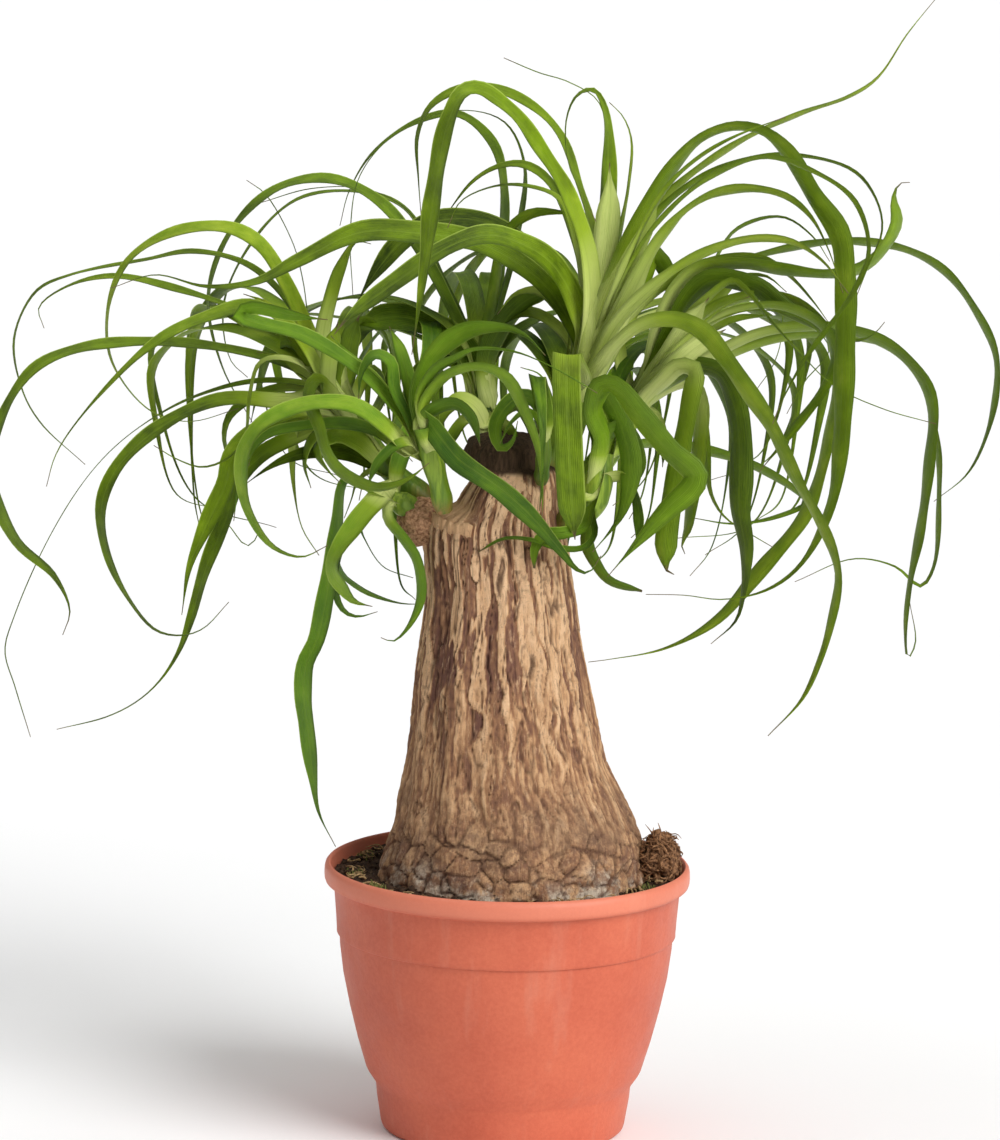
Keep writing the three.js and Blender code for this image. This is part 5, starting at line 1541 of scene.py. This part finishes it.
    def torn_edge(self, material: Finish) -> Piece:
        """Returns the ragged flap of pale bark that stands off the shoulder at the left."""
        read = self.outline(self.rings)
        first, last = self.tear_turns
        foot, brink = self.tear_span
        rows = []
        for turn in np.linspace(first, last, self.tear_rows):
            x, y = math.cos(turn) * 6, math.sin(turn) * 6
            ragged = ripple(x, y, 3) * 6 + ripple(x * 3, y * 3, 8) * 3
            fade = math.sin(math.pi * (turn - first) / (last - first)) ** 0.5
            top = brink + (2.5 + 0.7 * ragged) * fade
            for share, inside in ((0, 0), (0.35, 0), (0.7, 0), (1, 0), (1, 1), (0.7, 1), (0.35, 1), (0, 1)):
                height = foot + (top - foot) * share
                base, lean = read(height)
                curl = (-1.6 + 3.8 * share * (0.8 + 0.08 * ragged)) * fade
                crease = 0.7 * ripple(x * 2.2, y * 2.2, height / 14)
                sunk = 1.3 * inside + (1.6 if share == 0 else 0.0)
                reach = base + 0.6 + curl + crease - sunk
                rows.append((lean + reach * math.cos(turn), reach * math.sin(turn), height))
        pale = np.tile((0.0, 0.1, 0.5, 1.0, 1.0, 0.9, 0.6, 0.2), self.tear_rows)
        marks = dict.fromkeys(("fissure", "low", "chalk", "cut"), 0.0)
        skin = Skin()
        skin.add(np.array(rows), tube_faces(self.tear_rows, 8), plate=0.7, torn=pale, **marks)
        return skin.build("torn_bark_edge", [material])

    def knob(self, material: Finish) -> Piece:
        """Returns the fibrous knob at the left that the drooping head grows from."""

        def size(way: Vector) -> float:
            """Roughens it in strands from side to side."""
            return 1.0 + 0.09 * noise.fractal(Vector((way.x * 2, way.y * 7, way.z * 7)), 1.0, 2.0, 4)

        return lump("side_knob", self.knob_centre, self.knob_radii, size, material)

    def roots(self, material: Finish) -> Piece:
        """Returns the main roots in the soil."""
        skin = Skin()
        rows = self.root_rows
        for root in range(self.root_count):
            angle = (root + 0.5 * draw(root + 1)) / self.root_count * math.tau
            points = [np.array([reach * math.cos(angle), reach * math.sin(angle), height])
                      for reach, height in self.root_route]
            route, _ = evenly(through(points), rows)
            radii = along(self.root_radii, np.linspace(0, 1, rows))
            wobble = np.array([ripple(root, place * 0.8, 0) for place in range(rows)])
            skin.add(tube(route, radii * (1 + 0.2 * wobble), self.root_sides),
                     tube_faces(rows, self.root_sides),
                     fissure=0.0, plate=0.3, low=1.0, chalk=0.0, torn=0.0, cut=0.0)
        return skin.build("main_roots", [material])

    def build(self) -> list[Piece]:
        """Returns the pieces of the trunk."""
        bark = BarkSkin().make()
        fibre = Litter("knob_fibre", "#7C563C", "#CDA079").make()
        pieces = [self.bark(bark), self.cut_top(bark), self.torn_edge(bark)]
        pieces += [self.knob(fibre), self.roots(bark)]
        for piece in pieces:
            smooth_shade(piece, 80)
            settle(piece, Slot.BARK, "trunk")
        return pieces


# The soil


@dataclass
class Soil:
    """The soil with its crumbs, straw, moss and the fibrous clump at the right.

    The wall is the pot's inside as radii and heights. Spans are the least and the most radius.
    """

    level: float = 149.0
    bump: float = 1.6
    heap: float = 3.0
    gap: float = 0.45
    wall: Points = (
        (65.4, 4.5), (70.9, 26), (76.7, 35), (86.7, 72), (91.3, 91), (94.6, 116), (96.8, 141),
    )
    top_radii: Numbers = (99.4, *range(98, 58, -1), 40, 20, 4)
    sides: int = 220
    clump_centre: Numbers = (87.5, -8, 158)
    clump_radii: Numbers = (12.2, 16, 19)
    crumb_count: int = 420
    crumb_seed: float = 3000
    crumb_span: Numbers = (78, 98)
    near_crumb_span: Numbers = (74, 83)
    straw_count: int = 190
    straw_seed: float = 5200
    straw_span: Numbers = (82, 94)
    straw_end_span: Numbers = (80, 96)
    moss_count: int = 190
    moss_seed: float = 7100
    moss_tufts: Numbers = (2.35, 2.75, 3.2, 3.75, 1.9, -0.42, 0.5)
    moss_radius: float = 88.0
    fibre_count: int = 260
    fibre_seed: float = 9300
    fibre_reach: float = 101.0
    fibre_top: float = 184.0
    strand_shape: Numbers = (1.0, 1.1, 1.0, 0.9, 0.8, 0.6, 0.25)
    strand_sides: int = 5

    def height(self, radius: float, angle: float) -> float:
        """Returns the height of the soil's top at a radius and an angle."""
        waves = math.sin(5 * angle + 0.09 * radius) + math.sin(8 * angle - 0.16 * radius)
        heaped = self.heap * ease(0.2, 1, math.sin(angle + 0.7))
        place = Vector((math.cos(angle) * radius, math.sin(angle) * radius, 0))
        crumbs = 1.6 * noise.fractal(place * 0.16, 0.9, 2.1, 4) + 0.5 * noise.noise(place * 0.7)
        return self.level + self.bump * 0.5 * waves + heaped + crumbs

    def body(self, earth: Finish) -> Piece:
        """Returns the body of the soil, from the pot's floor to its uneven top."""
        turns = np.arange(self.sides) / self.sides * math.tau
        rows = [[(radius - self.gap, turn, height) for turn in turns] for radius, height in self.wall]
        for radius in self.top_radii:
            rows.append([(radius, turn, self.height(radius, turn)) for turn in turns])
        points = [(reach * math.cos(turn), reach * math.sin(turn), height)
                  for row in rows for reach, turn, height in row]
        skin = Skin()
        skin.add(np.array(points), tube_faces(len(rows), self.sides))
        return skin.build("soil_body", [earth])

    def spot(self, seed: float, low: float, high: float) -> tuple[float, float, float]:
        """Draws a place on the soil's top between two radii."""
        angle = draw(seed) * math.tau
        radius = low + (high - low) * draw(seed + 0.37)
        return radius * math.cos(angle), radius * math.sin(angle), self.height(radius, angle)

    def crumbs(self, earth: Finish) -> Piece:
        """Returns the loose crumbs that lie on the soil and fill the corner at the trunk."""
        pick_none()
        bpy.ops.mesh.primitive_ico_sphere_add(subdivisions=1, radius=1.0)
        ball = bpy.context.object
        shape = np.array([vertex.co[:] for vertex in ball.data.vertices])
        faces = [tuple(face.vertices) for face in ball.data.polygons]
        bpy.data.objects.remove(ball)
        skin = Skin()
        for crumb in range(self.crumb_count):
            seed = self.crumb_seed + crumb * 3.1
            x, y, z = self.spot(seed, *(self.crumb_span if crumb % 3 else self.near_crumb_span))
            size = 0.9 + 2.0 * draw(seed + 1.1) ** 2
            rough = np.array([0.75 + 0.5 * draw(seed + 2 + place) for place in range(len(shape))])
            stretch = np.array([size * (0.8 + 0.6 * draw(seed + 1.7)), size, size * 0.75])
            skin.add(shape * rough[:, None] * stretch + (x, y, z + 0.2 * size), faces)
        return skin.build("soil_crumbs", [earth])

    def strands(
        self,
        name: str,
        seed: float,
        spots: Spots,
        radius: float,
        material: Finish,
    ) -> Piece:
        """Makes many thin bent strands in one piece.

        Args:
            name: The piece's name.
            seed: Start of their draws.
            spots: Where each starts and the way that it goes, as long as it is.
            radius: Thickness of a strand.
            material: Their finish.

        Returns:
            The piece.
        """
        rows = len(self.strand_shape)
        skin = Skin()
        for number, (start, way) in enumerate(spots):
            wander = np.array([draw(seed + number * 5 + axis) - 0.5 for axis in range(3)])
            size = float(np.linalg.norm(way))
            points = [start, start + way * 0.5 + wander * size * 0.5, start + way]
            route, _ = evenly(through(points), rows)
            thin = radius * (0.6 + 0.8 * draw(seed + number * 5 + 4))
            shell = tube(route, thin * np.array(self.strand_shape), self.strand_sides)
            skin.add(shell, tube_faces(rows, self.strand_sides))
        return skin.build(name, [material])

    def straw_spots(self) -> Spots:
        """Draws straws that lie flat on the soil."""
        for straw in range(self.straw_count):
            seed = self.straw_seed + straw * 2.3
            x, y, z = self.spot(seed, *self.straw_span)
            angle = draw(seed + 1.3) * math.tau
            size = 4 + 9 * draw(seed + 1.9)
            lift = 1.5 * (draw(seed + 2.2) - 0.2)
            way = np.array([size * math.cos(angle), size * math.sin(angle), lift])
            end = math.hypot(x + way[0], y + way[1])
            if not self.straw_end_span[0] <= end <= self.straw_end_span[1]:
                way = np.array([-way[0], -way[1], way[2]]) * 0.5
            yield np.array([x, y, z + 1.6]), way

    def moss_spots(self) -> Spots:
        """Draws short upright blades in a few tufts."""
        for blade in range(self.moss_count):
            seed = self.moss_seed + blade * 1.7
            angle = self.moss_tufts[blade % len(self.moss_tufts)] + 0.16 * (draw(seed) - 0.5)
            radius = self.moss_radius + 9 * (draw(seed + 0.4) - 0.5)
            x, y = radius * math.cos(angle), radius * math.sin(angle)
            lean = 2.4 * (draw(seed + 0.8) - 0.5)
            way = np.array([lean, 2.4 * (draw(seed + 1.2) - 0.5), 1.6 + 2.0 * draw(seed + 1.5)])
            yield np.array([x, y, self.height(radius, angle)]), way

    def fibre_spots(self) -> Spots:
        """Draws fibres that wrap round the clump, with a few that stand up from it."""
        centre, radii = np.array(self.clump_centre), np.array(self.clump_radii)
        for fibre in range(self.fibre_count):
            seed = self.fibre_seed + fibre * 2.9
            angle = draw(seed) * math.tau
            up = min(0.99, -0.3 + 1.25 * draw(seed + 0.5))
            level = math.sqrt(max(0.05, 1 - up**2))
            outward = np.array([level * math.cos(angle), level * math.sin(angle), up])
            start = centre + radii * outward * 0.97
            aside = unit(np.cross(outward, np.array([draw(seed + 1) - 0.5, draw(seed + 2) - 0.5, 0.4])))
            size = 4 + 8 * draw(seed + 3)
            spiky = 0.1 + (0.7 if fibre % 14 == 0 else 0.0)
            way = (aside + outward * spiky) * size * 0.8
            x, y, z = start + way
            if math.hypot(x, y) > self.fibre_reach or z > self.fibre_top:
                way = way * 0.3
            yield start, way

    def clump(self, fibre: Finish) -> Piece:
        """Returns the lump of roots and old leaf bases at the right of the trunk."""
        shift = Vector((5, 1, 2))

        def size(way: Vector) -> float:
            """Roughens it in knots."""
            return 0.86 + 0.3 * noise.fractal(way * 2.4 + shift, 0.8, 2.2, 5)

        return lump("root_clump", self.clump_centre, self.clump_radii, size, fibre)

    def build(self) -> list[Piece]:
        """Returns the pieces of the soil."""
        earth = SoilEarth().make()
        fibre = Litter("root_fibre", "#4A2F20", "#A67A54", 0.9).make()
        straw = Litter("straw", "#7A5C3A", "#BFA274").make()
        moss = Litter("moss", "#4A5022", "#85894A").make()
        pieces = [
            self.body(earth),
            self.crumbs(earth),
            self.strands("straw_bits", self.straw_seed, self.straw_spots(), 0.45, straw),
            self.strands("moss_tufts", self.moss_seed, self.moss_spots(), 0.32, moss),
            self.clump(fibre),
            self.strands("clump_fibres", self.fibre_seed, self.fibre_spots(), 0.5, fibre),
        ]
        for piece in pieces:
            smooth_shade(piece, 60)
            settle(piece, Slot.SOIL, "soil")
        return pieces


# The heads of leaves


@dataclass
class Head:
    """One head: its sheathed stem and its leaves, laid over the head's solid."""

    plan: HeadPlan
    order: int
    across: int = 5
    station: float = 4.6
    fewest_rows: int = 26
    most_rows: int = 110
    sheath_rows: int = 40
    sheath_sides: int = 22

    def __post_init__(self) -> None:
        """Finds the stem's points and the solid's corners."""
        points = [seen_at(x, z, y) for (x, z), y in zip(self.plan.stem, self.plan.stem_depth)]
        self.stem = points
        self.low, self.tip = points[1], points[2]
        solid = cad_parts[self.plan.name].data
        self.corners = kdtree.KDTree(len(solid.vertices))
        for index, vertex in enumerate(solid.vertices):
            self.corners.insert(vertex.co / MM, index)
        self.corners.balance()

    def root(self, start: float, towards: np.ndarray) -> np.ndarray:
        """Finds where a leaf starts inside the stem.

        Args:
            start: How far up the stem, from 0 to 1.
            towards: The place that the leaf makes for.

        Returns:
            The point.
        """
        up = self.tip - self.low
        root = self.low + up * start
        up = unit(up)
        aside = towards - root
        aside = unit(aside - up * aside.dot(up))
        return root + aside * self.plan.stem_radii[1] * ROOT_INSET * self.plan.look.girth

    def traced_points(self, item: Leaf, bend: float) -> list[np.ndarray]:
        """Lists the points of a traced leaf, bent towards or away from the viewer past its root."""
        count = len(item.route)
        first = seen_at(*item.route[1], float(along(item.depth, 2 / count)))
        points = [self.root(item.start, first)]
        for index, (x, z) in enumerate(item.route):
            shift = bend * ease(-0.1, 0.35, index / (count - 1))
            points.append(seen_at(x, z, float(along(item.depth, (index + 1) / count)) + shift))
        return points

    def ruled_points(self, item: RuledLeaf, bend: float) -> list[np.ndarray]:
        """Lists the points of a leaf of the rule, bent sideways past its root."""
        outward = np.array([math.cos(item.angle), math.sin(item.angle), 0.0])
        curl = item.curl
        arc = (
            (0.04, 0.3), (0.16, 0.72), (0.38, 1), (0.64, 0.96), (0.86, 0.62), (1, 0.1),
            (1 - 0.04 * curl, -0.35), (0.92 - 0.1 * curl, -0.8), (0.86 - 0.4 * curl, -1 + 0.15 * curl),
        )
        points = [self.root(item.start, self.tip + outward)]
        for index, (far, up) in enumerate(arc):
            height = up * (item.rise if up > 0 else item.drop)
            shift = bend * ease(-0.1, 0.35, index / (len(arc) - 1))
            point = self.tip + outward * far * item.reach + np.array(item.side) * shift
            points.append(point + np.array([0.0, 0.0, height]))
        return points

    def ruled_leaves(self) -> list[RuledLeaf]:
        """Lists the leaves of the rule with their draws."""
        rule, items = self.plan.rule, []
        for index in range(rule.count):
            place = self.order * 90 + index * 7 + 500
            swing = (index + 0.5) / rule.count - 0.5 + (0.5 * (draw(place) - 0.5)) / rule.count
            angle = rule.middle + swing * 2 * rule.spread
            long = 0.7 + 0.6 * draw(place + 1)
            items.append(RuledLeaf(
                width=rule.width * (0.8 + 0.35 * draw(place + 2)),
                turn=(90, 75 + 30 * draw(place + 3), 90),
                angle=angle,
                start=ROOT_LOWEST + ROOT_SPAN * draw(place + 6),
                curl=draw(place + 5),
                reach=rule.reach * long,
                rise=rule.rise * (0.65 + 0.7 * draw(place + 4)),
                drop=rule.drop * long,
                side=(-math.sin(angle), math.cos(angle), 0.0),
            ))
        return items

    def placed(self, item: Leaf | RuledLeaf) -> list[np.ndarray] | None:
        """Finds the bend at which the solid has the leaf's tip.

        Args:
            item: The leaf.

        Returns:
            The leaf's points. A traced leaf that the solid lacks keeps its unbent ones, and a leaf
            of the rule that it lacks has None.
        """
        make = self.traced_points if isinstance(item, Leaf) else self.ruled_points
        trials = [make(item, bend) for bend in BENDS]
        gaps = [self.corners.find(Vector(points[-1]))[2] for points in trials]
        best = int(np.argmin(gaps))
        if gaps[best] < FOUND_WITHIN:
            return trials[best]
        return trials[0] if isinstance(item, Leaf) else None

    @staticmethod
    def breadth(item: Leaf | RuledLeaf, part: np.ndarray) -> np.ndarray:
        """Returns the leaf's breadth at places from its root to its tip."""
        root = 0.5 + 0.5 * smooth(0.0, 0.08, part)
        narrowed = smooth(item.fade[0], item.fade[1], part)
        body = item.width * LEAF_BREADTH * root * (1 - narrowed) + LEAF_THREAD * 0.85 * narrowed
        return body * (1 - 0.55 * smooth(0.9, 1.0, part))

    def facing(
        self,
        item: Leaf | RuledLeaf,
        middle: np.ndarray,
        part: np.ndarray,
        seed: float,
    ) -> tuple[np.ndarray, np.ndarray]:
        """Finds how a blade is turned along its length.

        Args:
            item: The leaf.
            middle: The points of its middle line.
            part: Where they lie, from 0 at the root to 1 at the tip.
            seed: Start of its draws.

        Returns:
            The ways to its edge and to its hollow side at each point.
        """
        ahead = unit(np.gradient(middle, axis=0))
        if item.side is None:
            sight = unit(middle - VIEW_POINT)
        else:
            sight = np.broadcast_to(np.array(item.side, float), middle.shape)
        broad = unit(np.cross(sight, ahead))
        for row in range(1, len(middle)):
            if broad[row].dot(broad[row - 1]) < 0:
                broad[row] = -broad[row]
        narrow = np.cross(ahead, broad)
        sway = 5.0 * np.sin(part * (5 + 6 * draw(seed)) + 6 * draw(seed + 1)) * smooth(0.1, 0.3, part)
        turn = np.radians(along(item.turn, part) + sway)[:, None]
        side = broad * np.cos(turn) + narrow * np.sin(turn)
        return side, np.cross(ahead, side) * item.face

    def blade(self, skin: Skin, item: Leaf | RuledLeaf, points: list[np.ndarray], seed: float) -> None:
        """Adds one channelled blade.

        Args:
            skin: Where it goes.
            item: The leaf.
            points: Its points.
            seed: Start of its draws.
        """
        curve = through(points)
        _, length = evenly(curve, 2)
        count = int(np.clip(length / self.station, self.fewest_rows, self.most_rows))
        middle, _ = evenly(curve, count)
        part = np.linspace(0.0, 1.0, count)
        side, up = self.facing(item, middle, part, seed)
        width = self.breadth(item, part)
        hollow = 0.26 * (1 - smooth(0.0, 0.18, part)) + 0.085
        fold = hollow * width * (1 - 0.35 * smooth(0.2, 0.8, part))
        waves = np.sin(part * length / 7 + 6 * draw(seed + 2))
        ruffle = 0.03 * width * waves * smooth(0.15, 0.4, part)
        thick = 0.34 + 0.022 * width
        steps = np.linspace(-1.0, 1.0, self.across)
        above, below = [], []
        for step in steps:
            lift = -fold * (1 - abs(step) ** 1.5) + ruffle * step * abs(step)
            half = side * (width * 0.5 * step)[:, None]
            above.append(middle + half + up * lift[:, None])
            below.append(middle + half * 0.985 + up * (lift - thick * (1 - 0.62 * step * step))[:, None])
        shell = np.stack([*above, *below[::-1]], 1).reshape(-1, 3)
        ring = 2 * self.across
        mm_along = part * length
        pale_reach = self.plan.look.pale_reach * (0.7 + 0.6 * draw(seed + 3))
        # Leaves darkened as painted shade get shorter pale roots.
        pale_reach *= float(np.clip(1 + 1.6 * item.shade, 0.15, 1.6))
        pale = 1 - smooth(0.15 * pale_reach, pale_reach, mm_along)
        dry = smooth(0.9, 1.02, part) * (0.8 + 0.4 * draw(seed + 5))
        # The tone adds the head's tone, the leaf's shade and a random spread; the first two hold painted
        # shade for leaves in shadow.
        skin.add(
            shell,
            tube_faces(count, ring),
            pale=np.repeat(pale, ring),
            across=np.tile([*steps, *steps[::-1]], count),
            under=np.tile(np.repeat([0.0, 1.0], self.across), count),
            tone=self.plan.look.tone + item.shade + 0.55 * (draw(seed + 4) - 0.5),
            reach=np.repeat(mm_along / 30, ring),
            dry=np.repeat(dry, ring),
            slim=np.repeat(1 - smooth(1.5, 5.0, width), ring),
            cool=self.plan.look.cool,
        )

    def sheath(self, skin: Skin) -> None:
        """Adds the stem, ringed where old leaves sat."""
        count, sides = self.sheath_rows, self.sheath_sides
        route, _ = evenly(through(self.stem), count)
        part = np.linspace(0.0, 1.0, count)
        radii = along(self.plan.stem_radii, part) * self.plan.look.girth
        bulb = 0.28 * np.exp(-(((part - 0.12) / 0.1) ** 2))
        ringed = 1 + bulb + 0.008 * np.sin(part * 31) - 0.35 * smooth(0.68, 1.0, part)
        turns = np.arange(sides) / sides * math.tau
        ribs = 1 + 0.06 * np.sin(turns * 5 + self.order)
        skin.add(
            tube(route, (radii * ringed)[:, None] * ribs, sides),
            tube_faces(count, sides),
            slot=1,
            pale=1.0,
            across=0.4,
            under=0.0,
            tone=self.plan.look.stem,
            reach=np.repeat(part, sides),
            dry=0.0,
            slim=1.0,
            cool=0.0,
        )

    @staticmethod
    def start_leaf(item: Leaf, share: float) -> None:
        """Sets how far up the stem a leaf starts, and its hollow side by the way that it goes."""
        goes_right = item.route[len(item.route) // 2][0] > item.route[0][0]
        item.start = share
        item.face = 1.0 if item.side is not None or goes_right else -1.0

    def build(self, skins: Sequence[Finish]) -> Piece:
        """Builds the head.

        Args:
            skins: The finish of the leaves and that of the stem.

        Returns:
            The head's piece.
        """
        skin = Skin()
        self.sheath(skin)
        for index, item in enumerate(self.plan.leaves):
            self.start_leaf(item, ROOT_LOWEST + ROOT_SPAN * draw(self.order * 40 + index))
            self.blade(skin, item, self.placed(item), self.order * 100 + index * 3.3)
        for index, item in enumerate(self.ruled_leaves()):
            points = self.placed(item)
            if points is not None:
                self.blade(skin, item, points, self.order * 100 + 61 + index * 3.3)
        for index, item in enumerate(self.plan.short):
            self.start_leaf(item, SHORT_LOWEST + ROOT_SPAN * draw(self.order * 40 + 300 + index))
            self.blade(skin, item, self.traced_points(item, 0.0), self.order * 100 + 83 + index * 3.3)
        piece = skin.build(f"{self.plan.name}_leaves", skins)
        smooth_shade(piece, 70)
        return settle(piece, Slot.LEAF, self.plan.name)


# The studio


@dataclass(frozen=True)
class Softbox:
    """A wide soft lamp: the side it shines from, its breadth in degrees and its strength."""

    name: str
    place: Numbers
    breadth: float
    power: float

    def hang(self) -> None:
        """Hangs it far off, pointed at the plant."""
        light = bpy.data.lights.new(self.name, "SUN")
        light.angle = math.radians(self.breadth)
        light.energy = self.power
        lamp = bpy.data.objects.new(self.name, light)
        lamp.location = self.place
        lamp.rotation_euler = (-Vector(self.place)).to_track_quat("-Z", "Y").to_euler()
        bpy.context.scene.collection.objects.link(lamp)


@dataclass
class Studio:
    """The floor, the soft light and the camera at the photograph's angle."""

    floor_size: float = 60.0
    air: float = 0.27
    lamps: Sequence[Softbox] = (
        Softbox("key_softbox", (2.8, -2.6, 2.5), 42, 2.95),
        Softbox("top_softbox", (-0.4, 0.4, 3.0), 70, 0.95),
    )

    def floor(self) -> None:
        """Lays the pale floor."""
        pick_none()
        bpy.ops.mesh.primitive_plane_add(size=self.floor_size, location=(0, 0, 0))
        floor = bpy.context.object
        floor.name = floor.data.name = "studio_floor"
        floor.data.materials.append(FloorPaper().make())

    def lights(self) -> None:
        """Sets the soft key from the upper right, the top light and the bright surroundings."""
        for lamp in self.lamps:
            lamp.hang()
        world = bpy.data.worlds.new("studio_air")
        world.use_nodes = True
        air = world.node_tree.nodes["Background"]
        air.inputs["Color"].default_value = (1, 1, 1, 1)
        air.inputs["Strength"].default_value = self.air
        bpy.context.scene.world = world
        bpy.context.scene.view_settings.view_transform = "Standard"

    def camera(self) -> None:
        """Places the camera where the photograph was taken from."""
        lens = bpy.data.cameras.new("photo_camera")
        lens.sensor_width = SENSOR
        lens.lens = FOCAL_PER_HEIGHT * SENSOR
        lens.clip_end = 200
        camera = bpy.data.objects.new("photo_camera", lens)
        camera.matrix_world = (
            Matrix.Translation(Vector(VIEW_POINT) * MM)
            @ Matrix.Rotation(math.radians(90 - VIEW_PITCH), 4, "X")
            @ Matrix.Rotation(math.radians(VIEW_ROLL), 4, "Z")
        )
        bpy.context.scene.collection.objects.link(camera)
        bpy.context.scene.camera = camera

    def build(self) -> None:
        """Sets up the whole studio."""
        self.camera()
        self.floor()
        self.lights()


def build_heads() -> list[Piece]:
    """Builds every head."""
    skins = (LeafSkin().make(), StemSkin().make())
    return [Head(plan, order).build(skins) for order, plan in enumerate(HEADS)]


def write_sizes() -> None:
    """Updates the view layer."""
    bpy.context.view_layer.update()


def main() -> None:
    """Builds the studio, the pot, the soil, the trunk and the heads."""
    logging.basicConfig(level=logging.INFO, format="%(name)s: %(message)s")
    Studio().build()
    FlowerPot().build()
    Soil().build()
    Trunk().build()
    build_heads()
    write_sizes()


if __name__ == "__main__":
    main()
